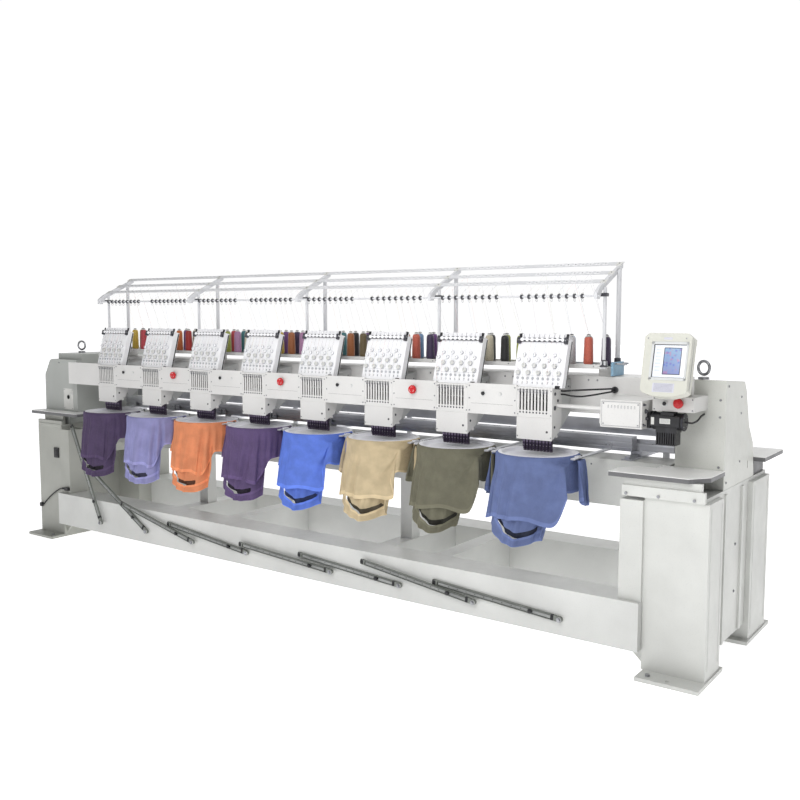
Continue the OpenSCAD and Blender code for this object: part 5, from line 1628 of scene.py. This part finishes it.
def hooped_top(head):
    """The hooped cloth: flat inside the ring, up over the ring, and into the shirt's front."""
    x = head_x(head)
    spokes = 96
    radii = [0.003 + 0.158 * k / 14 for k in range(15)] + [0.1642, 0.1668, 0.1700, 0.1745, 0.1790, 0.1835,
                                                           0.1885]
    heights = [HOOP_Z0 + 0.0018] * 15 + [HOOP_Z0 + 0.0040, HOOP_Z1 - 0.0015,
                                         HOOP_Z1 + 0.0008] + [HOOP_Z1 + 0.0012] * 3 + [
        HOOP_Z1 + 0.0006]
    grid = []
    for r, z in zip(radii, heights):
        line = []
        for spoke in range(spokes):
            a = 2 * math.pi * spoke / spokes
            at = Vector((r * 30 * math.cos(a), r * 30 * math.sin(a), 3 * head))
            rise = 0.0009 * noise.noise(at) + (0.0009 * (1 + noise.noise(at * 0.4)) if r > 0.166 else 0)
            line.append(Vector((x + r * math.sin(a), NEEDLE_Y - r * math.cos(a), z + rise)))
        grid.append(line)
    piece = cloth_piece(f"shirt_{head + 1}_hooped_top", grid, True, top_knits[head], top_knits[head], 1,
                        thick=0.0008)


def hooped_finish(head):
    """White backing over the hoop that turns into the shirt's colour towards the front rim."""
    rgb = list(SHIRTS.values())[head]
    f = Finish(f"shirt_{head + 1}_top")
    away = f.node("ShaderNodeVectorMath", Vector=f.place)
    away.operation = "DISTANCE"
    away.inputs[1].default_value = (head_x(head), NEEDLE_Y + 0.030, HOOP_Z1)
    ragged = f.sum(away.outputs["Value"], f.noise(24.0, 3.0), 0.030)
    white = f.mixed(f.remap(f.noise(9.0, 4.0), 0.0, 1.0), linear((243, 243, 246)), linear((228, 228, 236)))
    base = f.mixed(f.remap(ragged, 0.0, 1.0, 0.222, 0.240), white, linear(rgb))
    height = f.sum(f.times(f.noise(16.0, 4.0), 9.0), f.waves(230.0, "X", 1.5), 0.6)
    f.bump(height, 0.00018)
    return f.done(base, f.remap(f.noise(120.0), 0.7, 0.9), Sheen_Weight=0.2)


# each shirt's inside at 0.42 of its colour: painted shade
neck_shadow_knits = [knit(name + "_inside", shade(rgb, 0.42), fuzz=0.1) for name, rgb in SHIRTS.items()]
top_knits = [hooped_finish(head) for head in range(HEADS)]
build_garments()

# ---- Light, floor and finish -----------------------------------------------------------------------


# name, place, aim, power and width of each lamp
LAMPS = (("key", (1.9, -4.0, 3.4), (0.8, -0.3, 0.8), 105, 2.6),
         ("top", (1.2, -0.8, 4.6), (0.6, 0, 0.8), 42, 4.0))
# the sky's strength rises from the operator's side, at -Y, to white behind the machine
SKY = (("From Min", 0.24), ("From Max", 0.44), ("To Min", 0.20), ("To Max", 1.02))
FLOOR_REACH, FLOOR_CELLS, FLOOR_Z = 40.0, 16, -0.0005


def build_studio():
    """A white sky behind the machine, two soft lamps to its front and right, and a pale floor."""
    scene = bpy.context.scene
    scene.view_settings.view_transform = "Standard"
    world = bpy.data.worlds.new("studio")
    scene.world = world
    world.use_nodes = True
    tree = world.node_tree
    back = tree.nodes["Background"]
    place = tree.nodes.new("ShaderNodeTexCoord")
    split = tree.nodes.new("ShaderNodeSeparateXYZ")
    side = tree.nodes.new("ShaderNodeMapRange")
    tree.links.new(place.outputs["Generated"], split.inputs[0])
    tree.links.new(split.outputs["Y"], side.inputs["Value"])
    for key, value in SKY:
        side.inputs[key].default_value = value
    tree.links.new(side.outputs["Result"], back.inputs["Strength"])
    back.inputs["Color"].default_value = (1, 1, 1, 1)
    for name, at, aim, power, size in LAMPS:
        lamp = bpy.data.lights.new(name, "AREA")
        lamp.energy = power
        lamp.shape = "DISK"
        lamp.size = size
        thing = bpy.data.objects.new(name, lamp)
        scene.collection.objects.link(thing)
        thing.location = at
        thing.rotation_euler = (Vector(at) - Vector(aim)).to_track_quat("Z", "Y").to_euler()
    mesh = bpy.data.meshes.new("floor")
    steps = [lerp(-FLOOR_REACH, FLOOR_REACH, k / FLOOR_CELLS) for k in range(FLOOR_CELLS + 1)]
    grid = [[Vector((x, y, FLOOR_Z)) for x in steps] for y in steps]
    mesh.from_pydata([tuple(p) for line in grid for p in line], [], grid_faces(grid, False))
    mesh.materials.append(floor_finish)
    floor = bpy.data.objects.new("floor", mesh)
    scene.collection.objects.link(floor)


build_studio()
